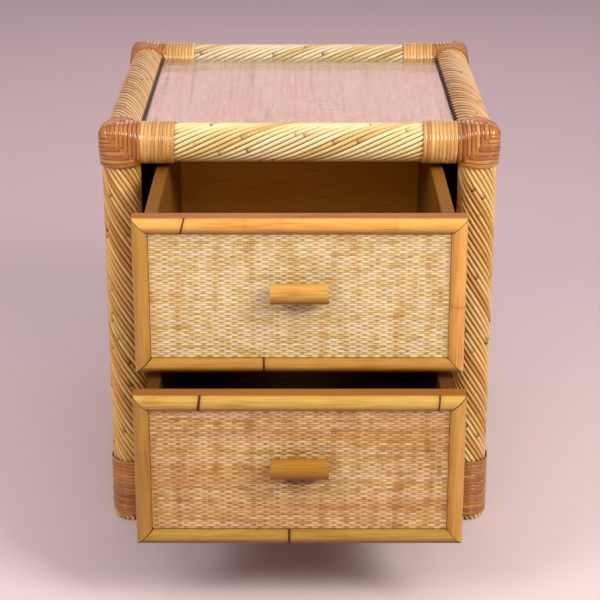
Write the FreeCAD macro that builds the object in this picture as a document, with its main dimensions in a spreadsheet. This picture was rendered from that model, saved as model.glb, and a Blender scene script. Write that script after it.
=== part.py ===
import FreeCAD, Part
import math
import os
import re

import Sketcher

# Driving dimensions of the nightstand, in millimetres, degrees and counts.
# The frame is +Z up, front towards -Y, origin on the floor midway between the four feet.
SIZES = {
    # case frame, measured over the bound corners
    "width": 452.0,
    "depth": 452.0,
    "height": 492.0,
    # poles and the pencil reeds laid round them
    "core_radius": 16.0,
    "reed_size": 5.7,
    "reed_groove": 1.6,
    "reed_count": 21,
    "post_reed_angle": 35.0,
    "rail_reed_angle": 27.5,
    "reed_facet_turn": 40.0,
    # peel strip of the bindings
    "strip_width": 3.9,
    "strip_gap": 0.6,
    "strip_thickness": 1.2,
    "strip_facet_turn": 30.0,
    "rail_turns": 8,
    "foot_turns": 16,
    "foot_bare": 7.0,
    "corner_chamfer": 8.0,
    # joints of the frame
    "dowel_radius": 4.0,
    "dowel_length": 32.0,
    "dowel_wall": 1.0,
    "lower_rail_radius": 12.0,
    "lower_rail_gap": 2.0,
    # panels and the top
    "panel_thickness": 9.0,
    "back_thickness": 6.0,
    "base_thickness": 6.0,
    "base_lap": 3.0,
    "top_thickness": 9.0,
    "mat_thickness": 1.8,
    "glass_thickness": 5.0,
    "glass_drop": 12.7,
    "glass_gap": 0.5,
    "glass_corner": 6.0,
    "cleat_width": 13.0,
    # drawer fronts and the gaps round them
    "floor_gap": 86.0,
    "front_gap": 7.0,
    "top_gap": 6.7,
    "side_gap": 4.7,
    "front_thickness": 16.6,
    "trim_radius": 8.5,
    # drawer boxes
    "box_inset": 12.5,
    "box_wall": 14.0,
    "rear_gap": 36.0,
    "back_wall": 12.0,
    "back_drop": 8.0,
    "bottom_thickness": 4.5,
    "groove_depth": 6.0,
    "groove_height": 8.0,
    # runners
    "runner_thickness": 12.0,
    "guide_height": 30.0,
    "slide_clear": 0.3,
    "guide_clear": 0.8,
    # pulls and their screws
    "pull_length": 61.5,
    "pull_radius": 11.5,
    "pull_rise": 7.2,
    "pith_radius": 5.5,
    "pith_depth": 9.0,
    "block_width": 36.0,
    "block_height": 14.0,
    "block_depth": 10.0,
    "screw_radius": 2.0,
    "screw_head_radius": 4.0,
    "screw_head": 2.4,
    "screw_tip": 4.0,
    "screw_bite": 7.0,
    "screw_spacing": 20.0,
    # how far each drawer stands out of the case
    "upper_open": 164.7,
    "lower_open": 210.5,
    # play between seated pieces
    "seat": 0.3,
}

# Sizes and places that follow from the driving dimensions.
DERIVED = {
    "wrap_radius": "core_radius + seat + reed_size",
    "strip_inner_radius": "(wrap_radius + seat) / cos(strip_facet_turn / 2)",
    "binding_radius": "strip_inner_radius + strip_thickness",
    "corner_size": "2 * binding_radius",
    "axis_x": "width / 2 - binding_radius",
    "axis_y": "depth / 2 - binding_radius",
    "rail_z": "height - binding_radius",
    "rail_start": "core_radius + seat",
    "reed_start": "binding_radius + seat",
    "dowel_start": "dowel_radius + dowel_wall",
    "strip_pitch": "strip_width + strip_gap",
    "foot_binding_top": "foot_bare + foot_turns * strip_pitch + strip_width",
    "lower_rail_top": "floor_gap - lower_rail_gap",
    "lower_rail_z": "lower_rail_top - lower_rail_radius",
    "panel_x": "axis_x - wrap_radius - seat",
    "panel_y": "axis_y - wrap_radius - seat",
    "panel_bottom": "max(lower_rail_top; foot_binding_top) + seat",
    "panel_top": "rail_z - wrap_radius - seat",
    "back_top": "rail_z - binding_radius - seat",
    "base_bottom": "lower_rail_top + seat",
    "notch_x": "axis_x - binding_radius - seat",
    "notch_y": "axis_y - binding_radius - seat",
    "panel_inner_x": "axis_x - panel_thickness / 2",
    "back_inner_y": "axis_y - back_thickness / 2",
    "glass_x": "axis_x - wrap_radius - glass_gap",
    "glass_y": "axis_y - binding_radius - glass_gap",
    "glass_bottom": "rail_z + wrap_radius - glass_drop - glass_thickness",
    "top_mat_bottom": "glass_bottom - mat_thickness",
    "top_panel_bottom": "top_mat_bottom - top_thickness",
    "cleat_height": "top_panel_bottom - panel_top",
    "front_width": "2 * (axis_x - wrap_radius - side_gap)",
    "front_height": "(rail_z - wrap_radius - top_gap - front_gap - floor_gap) / 2",
    "front_y": "-(axis_y + wrap_radius)",
    "runner_lift": "base_bottom + base_thickness + seat - floor_gap",
    "box_lift": "runner_lift + runner_thickness + slide_clear",
    "box_half": "front_width / 2 - box_inset",
    "box_height": "front_height - box_lift",
    "box_length": "back_inner_y - rear_gap - front_y - front_thickness",
    "groove_size": "bottom_thickness + 2 * seat",
    "trim_width": "2 * trim_radius",
    "shank_length": "front_thickness + mat_thickness + block_depth + screw_bite - seat",
    "upper_z": "floor_gap + front_height + front_gap",
    "lower_z": "floor_gap",
}

LEFT_RIGHT = {"left": -1, "right": 1}
FRONT_REAR = {"front": -1, "rear": 1}
X, Y, Z = FreeCAD.Vector(1, 0, 0), FreeCAD.Vector(0, 1, 0), FreeCAD.Vector(0, 0, 1)
# turns a piece made along +Z to run along another direction
ALONG = {
    "+x": FreeCAD.Rotation(Z, X),
    "-x": FreeCAD.Rotation(Z, -X),
    "+y": FreeCAD.Rotation(Z, Y),
    "-y": FreeCAD.Rotation(Z, -Y),
    "+z": FreeCAD.Rotation(),
}
WAYS = {-1: "-", 1: "+"}
SEW_TOLERANCE = 0.001

doc = FreeCAD.newDocument("Nightstand")
sheet = doc.addObject("Spreadsheet::Sheet", "Sizes")
for row, (alias, number) in enumerate(SIZES.items(), start=1):
    sheet.set(f"A{row}", alias)
    sheet.set(f"B{row}", str(number))
    sheet.setAlias(f"B{row}", alias)
doc.recompute()

nodes = []


def expression(text):
    """Spell a sum of named sizes out as an expression on the sheet's cells."""
    def spell(match):
        word = match.group()
        if word in DERIVED:
            return f"({expression(DERIVED[word])})"
        return f"Sizes.{word}" if word in SIZES else word
    return re.sub(r"[a-z_]+", spell, str(text))


def size(text):
    """Value of a sum of named sizes."""
    return float(sheet.evalExpression(expression(text)))


def bind(thing, **properties):
    """Tie properties of a document object to named sizes."""
    for name, text in properties.items():
        thing.setExpression(name, expression(text))
    return thing


def place(thing, at, rotation=FreeCAD.Rotation()):
    """Turn a document object and tie its place to named sizes."""
    thing.Placement = FreeCAD.Placement(FreeCAD.Vector(), rotation)
    for axis, text in zip("xyz", at):
        thing.setExpression(f"Placement.Base.{axis}", expression(text))
    return thing


def node(label, thing):
    """Name a finished piece and put it on the list of sub-parts."""
    thing.Label = label
    nodes.append(thing)
    return thing


def board(name, low, span):
    """Plain board from its lowest corner and its three sizes."""
    thing = doc.addObject("Part::Box", name)
    bind(thing, Length=span[0], Width=span[1], Height=span[2])
    return place(thing, low)


def rod(name, radius, length, start, way):
    """Round rod from its start, along a signed axis."""
    thing = doc.addObject("Part::Cylinder", name)
    bind(thing, Radius=radius, Height=length)
    return place(thing, start, ALONG[way])


def cut(name, base, tools):
    """Base piece with every tool taken out of it."""
    tool = tools[0]
    if len(tools) > 1:
        tool = doc.addObject("Part::MultiFuse", f"{name}_tools")
        tool.Shapes = tools
    thing = doc.addObject("Part::Cut", name)
    thing.Base = base
    thing.Tool = tool
    return thing


def group(name, members):
    """Several separate solids held as one sub-part."""
    thing = doc.addObject("Part::Compound", name)
    thing.Links = members
    return thing


def formed(name, shape, at, rotation=FreeCAD.Rotation()):
    """Piece whose shape is worked out below, in place."""
    thing = doc.addObject("Part::Feature", name)
    thing.Shape = shape
    return place(thing, at, rotation)


def sketch_on(body, plane, name):
    """Empty sketch on one of a body's own origin planes."""
    sketch = body.newObject("Sketcher::SketchObject", name)
    origin_plane = next(f for f in body.Origin.OriginFeatures if f.Role == plane)
    sketch.AttachmentSupport = [(origin_plane, "")]
    sketch.MapMode = "FlatFace"
    return sketch


def pin_point(sketch, geometry, end, at):
    """Tie one point of a sketch to two named sizes."""
    for kind, axis, text in (("DistanceX", -2, at[0]), ("DistanceY", -1, at[1])):
        if text == "0":
            sketch.addConstraint(Sketcher.Constraint("PointOnObject", geometry, end, axis))
            continue
        index = sketch.addConstraint(Sketcher.Constraint(kind, -1, 1, geometry, end, size(text)))
        sketch.setExpression(f"Constraints[{index}]", expression(text))


def draw_outline(sketch, corners):
    """Closed outline of straight lines through the named corners."""
    points = [FreeCAD.Vector(size(x), size(y), 0) for x, y in corners]
    first = sketch.GeometryCount
    count = len(points)
    for index in range(count):
        sketch.addGeometry(Part.LineSegment(points[index], points[(index + 1) % count]), False)
    for index in range(count):
        following = first + (index + 1) % count
        sketch.addConstraint(Sketcher.Constraint("Coincident", first + index, 2, following, 1))
        pin_point(sketch, first + index, 1, corners[index])


def draw_half_round(sketch, radius):
    """Half disc that bulges towards the sketch's -x, flat on its vertical axis."""
    reach = size(radius)
    round_part = Part.Circle(FreeCAD.Vector(), Z, reach)
    arc = sketch.addGeometry(Part.ArcOfCircle(round_part, math.pi / 2, 3 * math.pi / 2), False)
    top, bottom = FreeCAD.Vector(0, reach, 0), FreeCAD.Vector(0, -reach, 0)
    flat = sketch.addGeometry(Part.LineSegment(bottom, top), False)
    sketch.addConstraint(Sketcher.Constraint("Coincident", arc, 3, -1, 1))
    sketch.addConstraint(Sketcher.Constraint("Coincident", arc, 2, flat, 1))
    sketch.addConstraint(Sketcher.Constraint("Coincident", arc, 1, flat, 2))
    sketch.addConstraint(Sketcher.Constraint("PointOnObject", arc, 1, -2))
    index = sketch.addConstraint(Sketcher.Constraint("Radius", arc, reach))
    sketch.setExpression(f"Constraints[{index}]", expression(radius))


def draw_hole(sketch, radius, at):
    """Round hole in a sketch."""
    circle = Part.Circle(FreeCAD.Vector(size(at[0]), size(at[1]), 0), Z, size(radius))
    hole = sketch.addGeometry(circle, False)
    pin_point(sketch, hole, 3, at)
    index = sketch.addConstraint(Sketcher.Constraint("Radius", hole, size(radius)))
    sketch.setExpression(f"Constraints[{index}]", expression(radius))


def pad(body, sketch, length, reverse=False):
    """Raise a sketch into a solid."""
    feature = body.newObject("PartDesign::Pad", f"{sketch.Name}_pad")
    feature.Profile = sketch
    feature.Reversed = reverse
    return bind(feature, Length=length)


def pocket(body, sketch, depth, reverse=False):
    """Sink a sketch into the solid so far, and see that it takes material away."""
    doc.recompute()
    before = body.Shape.Volume
    feature = body.newObject("PartDesign::Pocket", f"{sketch.Name}_pocket")
    feature.Profile = sketch
    feature.Reversed = reverse
    bind(feature, Length=depth)
    doc.recompute()
    if not body.Shape.Volume < before:
        raise ValueError(f"{feature.Name} cuts nothing")
    return feature


def faceted_solid(points, triangles):
    """Closed solid from corner points and flat triangles."""
    shape = Part.Shape()
    shape.makeShapeFromMesh((points, triangles), SEW_TOLERANCE)
    return Part.Solid(shape.Shells[0])


def ring_point(radius, turn, height):
    """Point on a ring round the Z axis, with its turn in degrees."""
    angle = math.radians(turn)
    return (radius * math.cos(angle), radius * math.sin(angle), height)


def band(low, high):
    """Triangles between two rings of point numbers, facing outwards."""
    triangles = []
    count = len(low)
    for index in range(count):
        after = (index + 1) % count
        triangles.append((low[index], low[after], high[after]))
        triangles.append((low[index], high[after], high[index]))
    return triangles


def reed_sleeve(length, lay_angle):
    """Sleeve of pencil reeds laid side by side in a left-hand spiral along +Z."""
    count = int(size("reed_count"))
    reed_turn = 360.0 / count
    crest = size("wrap_radius")
    valley = crest - size("reed_groove")
    lay = math.degrees(length * math.tan(math.radians(lay_angle)) / crest)
    shift = round(lay / reed_turn)
    steps = math.ceil(shift * reed_turn / size("reed_facet_turn"))
    points = []
    rings = []
    for step in range(steps + 1):
        turn = -shift * reed_turn * step / steps
        rings.append(range(len(points), len(points) + 2 * count))
        for index in range(2 * count):
            radius = crest if index % 2 else valley
            points.append(ring_point(radius, turn + index * reed_turn / 2, length * step / steps))
    bore_radius = size("core_radius + seat") / math.cos(math.radians(reed_turn / 2))
    bores = []
    for height in (0.0, length):
        bores.append(range(len(points), len(points) + count))
        for index in range(count):
            points.append(ring_point(bore_radius, index * reed_turn, height))
    triangles = band(bores[1], bores[0])
    for low, high in zip(rings, rings[1:]):
        triangles += band(low, high)
    for reed in range(count):
        after = (reed + 1) % count
        end_reed = (reed + shift) % count
        floor = (rings[0][2 * reed], rings[0][2 * reed + 1], rings[0][2 * after])
        last = rings[-1]
        roof = (last[2 * end_reed], last[2 * end_reed + 1], last[2 * ((end_reed + 1) % count)])
        near, far = bores[0][reed], bores[0][after]
        triangles += [(near, floor[1], floor[0]), (near, far, floor[1]), (far, floor[2], floor[1])]
        near, far = bores[1][reed], bores[1][after]
        triangles += [(near, roof[0], roof[1]), (near, roof[1], far), (far, roof[1], roof[2])]
    return faceted_solid(points, triangles)


def wound_strip(turns):
    """One unbroken peel strip wound round a wrapped pole, rising along +Z from its lower edge."""
    steps_per_turn = round(360.0 / size("strip_facet_turn"))
    rise = size("strip_pitch") / steps_per_turn
    inner, outer = size("strip_inner_radius"), size("binding_radius")
    breadth = size("strip_width")
    points = []
    sections = []
    for step in range(int(turns) * steps_per_turn + 1):
        turn = -360.0 * step / steps_per_turn
        sections.append(range(len(points), len(points) + 3))
        points.append(ring_point(inner, turn, rise * step))
        points.append(ring_point(outer, turn, rise * step + breadth / 2))
        points.append(ring_point(inner, turn, rise * step + breadth))
    gap = min(
        math.dist(points[section[2]], points[after[0]])
        for section, after in zip(sections, sections[steps_per_turn:])
    )
    print(f"strip of {turns:.0f} turns: least gap to itself {gap:.2f} mm")
    triangles = [tuple(reversed(sections[-1])), tuple(sections[0])]
    for low, high in zip(sections, sections[1:]):
        triangles += band(high, low)
    solid = faceted_solid(points, triangles)
    return solid if solid.Volume > 0 else solid.reversed()


def peg(name, play, sx, sy, run):
    """Dowel, or with some play its hole, from a post into its rail along X or Y."""
    inset = {axis: f"dowel_start - {play}" if axis == run else "0" for axis in "xy"}
    at = (f"{sx} * (axis_x - ({inset['x']}))", f"{sy} * (axis_y - ({inset['y']}))", "rail_z")
    inwards = {"x": -sx, "y": -sy}[run]
    return rod(name, f"dowel_radius + {play}", f"dowel_length + 2 * {play}", at, WAYS[inwards] + run)


def build_frame():
    """Posts, rails, their reeds and bindings, and the dowels of the top joints."""
    holes = {}
    dowels = []
    for end_y, sy in FRONT_REAR.items():
        for end_x, sx in LEFT_RIGHT.items():
            corner = f"{end_y}_{end_x}"
            for run in "xy":
                dowels.append(peg(f"dowel_{corner}_{run}", "0", sx, sy, run))
                holes[f"{corner}_{run}"] = peg(f"hole_{corner}_{run}", "seat", sx, sy, run)
            foot = (f"{sx} * axis_x", f"{sy} * axis_y", "0")
            pole = rod(f"pole_{corner}", "core_radius", "rail_z + core_radius", foot, "+z")
            post = cut(f"post_{corner}", pole, [holes[f"{corner}_x"], holes[f"{corner}_y"]])
            node(f"post_core_{corner}", post)
            sleeve = reed_sleeve(size("rail_z - reed_start"), size("post_reed_angle"))
            node(f"post_reeds_{corner}", formed(f"reeds_{corner}", sleeve, foot))
            strip = wound_strip(size("foot_turns"))
            strip_at = (foot[0], foot[1], "foot_bare")
            node(f"foot_binding_{corner}", formed(f"foot_strip_{corner}", strip, strip_at))
            build_corner(corner, sx, sy)
    node("rail_dowels", group("dowels", dowels))
    build_rails(holes)


def build_corner(corner, sx, sy):
    """Bound block over a top joint, and the winding that runs on along the front or rear rail."""
    body = doc.addObject("PartDesign::Body", f"block_{corner}")
    block = body.newObject("PartDesign::AdditiveBox", f"block_box_{corner}")
    bind(block, Length="corner_size", Width="corner_size", Height="corner_size")
    doc.recompute()
    rounded = body.newObject("PartDesign::Chamfer", f"block_edges_{corner}")
    rounded.Base = (block, [f"Edge{index + 1}" for index in range(len(block.Shape.Edges))])
    bind(rounded, Size="corner_chamfer")
    middle = (f"{sx} * axis_x", f"{sy} * axis_y", "rail_z")
    place(body, [f"{text} - binding_radius" for text in middle])
    # the hollow takes the post's head and opens towards the post and both rails
    reach = "core_radius + seat"
    low = [f"{text} - core_radius - seat" for text in middle]
    past_x = f"{sx} * axis_x - {reach}" if sx < 0 else f"{sx} * axis_x - corner_size"
    past_y = f"{sy} * axis_y - {reach}" if sy < 0 else f"{sy} * axis_y - corner_size"
    side, deep = f"2 * ({reach})", f"corner_size + {reach}"
    hollows = [
        board(f"head_{corner}", (low[0], low[1], "rail_z - corner_size"), (side, side, deep)),
        board(f"way_x_{corner}", (past_x, low[1], low[2]), (deep, side, side)),
        board(f"way_y_{corner}", (low[0], past_y, low[2]), (side, deep, side)),
    ]
    cap = cut(f"cap_{corner}", body, hollows)
    strip_at = (f"{sx} * (axis_x - reed_start)", middle[1], "rail_z")
    along_rail = ALONG[WAYS[-sx] + "x"]
    strip = formed(f"rail_strip_{corner}", wound_strip(size("rail_turns")), strip_at, along_rail)
    node(f"corner_binding_{corner}", group(f"binding_{corner}", [cap, strip]))


def build_rails(holes):
    """Top rails with their reeds, and the plain lower rails between the feet."""
    sleeve_x = reed_sleeve(size("2 * (axis_x - reed_start)"), size("rail_reed_angle"))
    sleeve_y = reed_sleeve(size("2 * (axis_y - reed_start)"), size("rail_reed_angle"))
    runs = []
    for end, sign in FRONT_REAR.items():
        ends = [holes[f"{end}_left_x"], holes[f"{end}_right_x"]]
        runs.append((end, "+x", "axis_x", ("{from_end}", f"{sign} * axis_y", "{level}"), sleeve_x, ends))
    for end, sign in LEFT_RIGHT.items():
        ends = [holes[f"front_{end}_y"], holes[f"rear_{end}_y"]]
        runs.append((end, "+y", "axis_y", (f"{sign} * axis_x", "{from_end}", "{level}"), sleeve_y, ends))
    for end, way, half, at, sleeve, ends in runs:
        def start(inset, level):
            return [text.format(from_end=f"-({half} - ({inset}))", level=level) for text in at]
        pole_at = start("rail_start", "rail_z")
        pole = rod(f"rail_pole_{end}", "core_radius", f"2 * ({half} - rail_start)", pole_at, way)
        node(f"top_rail_core_{end}", cut(f"rail_{end}", pole, ends))
        reeds = formed(f"rail_reeds_{end}", sleeve, start("reed_start", "rail_z"), ALONG[way])
        node(f"top_rail_reeds_{end}", reeds)
        low_at = start("0", "lower_rail_z")
        low_pole = rod(f"low_pole_{end}", "lower_rail_radius", f"2 * {half}", low_at, way)
        copes = []
        for side in ("", "-"):
            foot_at = [text.format(from_end=f"{side}{half}", level="0") for text in at]
            copes.append(rod(f"cope_{end}{side}", "binding_radius + seat", "rail_z", foot_at, "+z"))
        node(f"lower_rail_{end}", cut(f"low_rail_{end}", low_pole, copes))


def build_case():
    """Panels, mats, glass, cleats and drawer runners of the case."""
    rise = "panel_top - panel_bottom"
    runners = []
    for end, sign in LEFT_RIGHT.items():
        panel_low = (f"{sign} * axis_x - panel_thickness / 2", "-panel_y", "panel_bottom")
        panel = board(f"panel_{end}", panel_low, ("panel_thickness", "2 * panel_y", rise))
        node(f"side_panel_{end}", panel)
        mat_middle = f"{sign} * (axis_x + panel_thickness / 2 + mat_thickness / 2)"
        mat_low = (f"{mat_middle} - mat_thickness / 2", "-panel_y", "panel_bottom")
        node(f"side_mat_{end}", board(f"mat_{end}", mat_low, ("mat_thickness", "2 * panel_y", rise)))
        for drawer in ("upper", "lower"):
            runners.append(build_runner(drawer, end, sign))
    node("drawer_runners", group("runners", runners))
    back_span = ("2 * panel_x", "back_thickness", "back_top - panel_bottom")
    back = board("back", ("-panel_x", "back_inner_y", "panel_bottom"), back_span)
    node("back_panel", back)
    build_base()
    build_top()


def build_runner(drawer, end, sign):
    """Runner of L section: a ledge under the drawer's side and a guide beside it."""
    body = doc.addObject("PartDesign::Body", f"runner_{drawer}_{end}")
    sketch = sketch_on(body, "XZ_Plane", f"runner_section_{drawer}_{end}")
    ledge, guide = f"{sign} * (box_half - box_wall)", f"{sign} * (box_half + guide_clear)"
    fixed = f"{sign} * panel_inner_x"
    guide_top = "runner_thickness + guide_height"
    draw_outline(sketch, [
        (ledge, "0"), (fixed, "0"), (fixed, guide_top),
        (guide, guide_top), (guide, "runner_thickness"), (ledge, "runner_thickness"),
    ])
    pad(body, sketch, "2 * panel_y", reverse=True)
    return place(body, ("0", "-panel_y", f"{drawer}_z + runner_lift"))


def build_base():
    """Base panel, notched round the four posts, on the lower rails."""
    body = doc.addObject("PartDesign::Body", "base")
    sketch = sketch_on(body, "XY_Plane", "base_outline")
    right, left = "panel_inner_x - seat", "seat - panel_inner_x"
    front, rear = "-(axis_y + base_lap)", "back_inner_y - seat"
    draw_outline(sketch, [
        ("-notch_x", front), ("notch_x", front), ("notch_x", "-notch_y"), (right, "-notch_y"),
        (right, "notch_y"), ("notch_x", "notch_y"), ("notch_x", rear), ("-notch_x", rear),
        ("-notch_x", "notch_y"), (left, "notch_y"), (left, "-notch_y"), ("-notch_x", "-notch_y"),
    ])
    pad(body, sketch, "base_thickness")
    node("base_panel", place(body, ("0", "0", "base_bottom")))


def build_top():
    """Top panel on its cleats, the woven mat and the glass pane between the rails."""
    low, span = ("-glass_x", "-glass_y"), ("2 * glass_x", "2 * glass_y")
    node("top_panel", board("top", (*low, "top_panel_bottom"), (*span, "top_thickness")))
    node("top_mat", board("top_weave", (*low, "top_mat_bottom"), (*span, "mat_thickness")))
    cleats = []
    for end, sign in LEFT_RIGHT.items():
        start = "-glass_x" if sign < 0 else "glass_x - cleat_width"
        at = (start, "-glass_y", "panel_top")
        cleats.append(board(f"cleat_{end}", at, ("cleat_width", "2 * glass_y", "cleat_height")))
    for end, sign in FRONT_REAR.items():
        start = "-glass_y" if sign < 0 else "glass_y - cleat_width"
        at = ("cleat_width - glass_x", start, "panel_top")
        cleat_span = ("2 * (glass_x - cleat_width)", "cleat_width", "cleat_height")
        cleats.append(board(f"cleat_{end}", at, cleat_span))
    node("top_cleats", group("cleats", cleats))
    body = doc.addObject("PartDesign::Body", "pane")
    sketch = sketch_on(body, "XY_Plane", "pane_outline")
    draw_outline(sketch, [
        ("-glass_x", "-glass_y"), ("glass_x", "-glass_y"), ("glass_x", "glass_y"), ("-glass_x", "glass_y"),
    ])
    raised = pad(body, sketch, "glass_thickness")
    doc.recompute()
    upright = [
        f"Edge{index}" for index, edge in enumerate(raised.Shape.Edges, start=1)
        if edge.tangentAt(edge.FirstParameter).cross(Z).Length < SEW_TOLERANCE
    ]
    corners = body.newObject("PartDesign::Fillet", "pane_corners")
    corners.Base = (raised, upright)
    bind(corners, Radius="glass_corner")
    node("glass_top", place(body, ("0", "0", "glass_bottom")))


def build_trim(drawer, edge, length, at, turn):
    """Length of half-round cane with both ends mitred, its long edge on the outside."""
    body = doc.addObject("PartDesign::Body", f"trim_{drawer}_{edge}")
    section = sketch_on(body, "YZ_Plane", f"trim_section_{drawer}_{edge}")
    draw_half_round(section, "trim_radius")
    pad(body, section, length)
    mitres = sketch_on(body, "XZ_Plane", f"trim_mitres_{drawer}_{edge}")
    low, high = "-2 * trim_radius", "2 * trim_radius"
    draw_outline(mitres, [("-trim_radius", low), ("3 * trim_radius", high), ("-trim_radius", high)])
    past_end, inside = f"{length} + trim_radius", f"{length} - 3 * trim_radius"
    draw_outline(mitres, [(past_end, low), (inside, high), (past_end, high)])
    pocket(body, mitres, "trim_width", reverse=True)
    return place(body, at, FreeCAD.Rotation(Y, turn))


def build_front(drawer, face_y, screw_z):
    """Front board, its mat and its mitred trim."""
    base_z = f"{drawer}_z"
    holes = []
    for end, sign in LEFT_RIGHT.items():
        hole_at = (f"{sign} * screw_spacing / 2", f"{face_y} - mat_thickness - block_depth - seat", screw_z)
        hole_length = "mat_thickness + block_depth + front_thickness + 2 * seat"
        holes.append(rod(f"screw_way_{drawer}_{end}", "screw_radius + seat", hole_length, hole_at, "+y"))
    slot = board(
        f"slot_{drawer}",
        ("-(box_half - box_wall + groove_depth)", f"{face_y} + front_thickness - groove_depth",
         f"{base_z} + box_lift + groove_height"),
        ("2 * (box_half - box_wall + groove_depth)", "2 * groove_depth", "groove_size"),
    )
    plank_span = ("front_width", "front_thickness", "front_height")
    plank = board(f"plank_{drawer}", ("-front_width / 2", face_y, base_z), plank_span)
    node(f"{drawer}_front_board", cut(f"front_{drawer}", plank, [*holes, slot]))
    inside = "trim_width + seat"
    weave = board(
        f"weave_{drawer}",
        (f"{inside} - front_width / 2", f"{face_y} - mat_thickness", f"{base_z} + {inside}"),
        (f"front_width - 2 * ({inside})", "mat_thickness", f"front_height - 2 * ({inside})"),
    )
    node(f"{drawer}_front_mat", cut(f"mat_{drawer}", weave, holes))
    near, far = "trim_radius - front_width / 2", "front_width / 2 - trim_radius"
    low, high = f"{base_z} + trim_radius", f"{base_z} + front_height - trim_radius"
    top = f"{base_z} + front_height"
    trims = [
        build_trim(drawer, "bottom", "front_width", ("-front_width / 2", face_y, low), 0),
        build_trim(drawer, "right", "front_height", (far, face_y, base_z), -90),
        build_trim(drawer, "top", "front_width", ("front_width / 2", face_y, high), 180),
        build_trim(drawer, "left", "front_height", (near, face_y, top), 90),
    ]
    node(f"{drawer}_front_trim", group(f"trims_{drawer}", trims))


def build_pull(drawer, face_y, screw_z):
    """Half-round cane pull with hollow ends, its block and its two screws."""
    block_y = f"{face_y} - mat_thickness - block_depth"
    body = doc.addObject("PartDesign::Body", f"cane_{drawer}")
    section = sketch_on(body, "YZ_Plane", f"cane_section_{drawer}")
    draw_half_round(section, "pull_radius")
    pad(body, section, "pull_length")
    near_end = sketch_on(body, "YZ_Plane", f"pith_near_{drawer}")
    draw_half_round(near_end, "pith_radius")
    pocket(body, near_end, "pith_depth", reverse=True)
    far_end = sketch_on(body, "YZ_Plane", f"pith_far_{drawer}")
    far_end.setExpression("AttachmentOffset.Base.z", expression("pull_length"))
    draw_half_round(far_end, "pith_radius")
    pocket(body, far_end, "pith_depth")
    bites = sketch_on(body, "XZ_Plane", f"bites_{drawer}")
    for sign in LEFT_RIGHT.values():
        draw_hole(bites, "screw_radius + seat", (f"pull_length / 2 + {sign} * screw_spacing / 2", "0"))
    pocket(body, bites, "screw_bite", reverse=True)
    node(f"{drawer}_pull", place(body, ("-pull_length / 2", block_y, screw_z)))
    spacer = board(
        f"spacer_{drawer}", ("-block_width / 2", block_y, f"{screw_z} - block_height / 2"),
        ("block_width", "block_depth", "block_height"),
    )
    ways = [doc.getObject(f"screw_way_{drawer}_{end}") for end in LEFT_RIGHT]
    node(f"{drawer}_pull_block", cut(f"block_{drawer}", spacer, ways))
    screws = [
        build_screw(drawer, end, (f"{sign} * screw_spacing / 2", f"{face_y} + front_thickness", screw_z))
        for end, sign in LEFT_RIGHT.items()
    ]
    node(f"{drawer}_pull_screws", group(f"screws_{drawer}", screws))


def build_screw(drawer, end, at):
    """Screw with a domed head on the inside of the front board and its point in the pull."""
    body = doc.addObject("PartDesign::Body", f"screw_{drawer}_{end}")
    sketch = sketch_on(body, "XY_Plane", f"screw_profile_{drawer}_{end}")
    draw_outline(sketch, [
        ("0", "screw_head"), ("0", "-shank_length"), ("screw_radius", "screw_tip - shank_length"),
        ("screw_radius", "0"), ("screw_head_radius", "0"), ("screw_head_radius / 2", "screw_head"),
    ])
    turned = body.newObject("PartDesign::Revolution", f"screw_turned_{drawer}_{end}")
    turned.Profile = sketch
    turned.ReferenceAxis = (sketch, ["V_Axis"])
    turned.Angle = 360.0
    return place(body, at)


def build_box(drawer, face_y):
    """Two grooved sides, the back and the bottom of a drawer."""
    joint_y = f"{face_y} + front_thickness"
    base_z = f"{drawer}_z + box_lift"
    for end, sign in LEFT_RIGHT.items():
        body = doc.addObject("PartDesign::Body", f"side_{drawer}_{end}")
        sketch = sketch_on(body, "XZ_Plane", f"side_section_{drawer}_{end}")
        outer, inner = f"{sign} * box_half", f"{sign} * (box_half - box_wall)"
        sunk = f"{sign} * (box_half - box_wall + groove_depth)"
        groove_top = "groove_height + groove_size"
        draw_outline(sketch, [
            (outer, "0"), (outer, "box_height"), (inner, "box_height"), (inner, groove_top),
            (sunk, groove_top), (sunk, "groove_height"), (inner, "groove_height"), (inner, "0"),
        ])
        pad(body, sketch, "box_length", reverse=True)
        node(f"{drawer}_side_{end}", place(body, ("0", joint_y, base_z)))
    bottom_z = f"{base_z} + groove_height + seat"
    half = "box_half - box_wall + groove_depth - seat"
    bottom = board(
        f"bottom_{drawer}", (f"-({half})", f"{joint_y} - groove_depth + seat", bottom_z),
        (f"2 * ({half})", "box_length + groove_depth - seat", "bottom_thickness"),
    )
    node(f"{drawer}_bottom", bottom)
    back_z = f"{bottom_z} + bottom_thickness + seat"
    inner_half = "box_half - box_wall"
    back = board(
        f"back_{drawer}", (f"-({inner_half})", f"{joint_y} + box_length - back_wall", back_z),
        (f"2 * ({inner_half})", "back_wall",
         "box_height - groove_height - bottom_thickness - 2 * seat - back_drop"),
    )
    node(f"{drawer}_back", back)


def build_drawer(drawer):
    """One drawer, drawn out of the case by its own amount."""
    face_y = f"front_y - {drawer}_open"
    screw_z = f"{drawer}_z + front_height / 2 + pull_rise"
    build_front(drawer, face_y, screw_z)
    build_pull(drawer, face_y, screw_z)
    build_box(drawer, face_y)


build_frame()
build_case()
for name in ("upper", "lower"):
    build_drawer(name)
doc.recompute()

for thing in doc.Objects:
    if {"Invalid", "Error"} & set(thing.State):
        raise RuntimeError(f"{thing.Label} failed: {thing.State}")
for thing in nodes:
    if thing.Shape.isNull() or not thing.Shape.isValid():
        raise RuntimeError(f"{thing.Label} has no valid shape")

os.makedirs("parts", exist_ok=True)
for thing in nodes:
    thing.Shape.exportStep(f"parts/{thing.Label}.step")
print(f"{len(nodes)} sub-parts written")
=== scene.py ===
"""Looks of a rattan nightstand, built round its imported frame.

Every length is in metres, +Z is up and the front faces -Y, as in the frame.
"""

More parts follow.
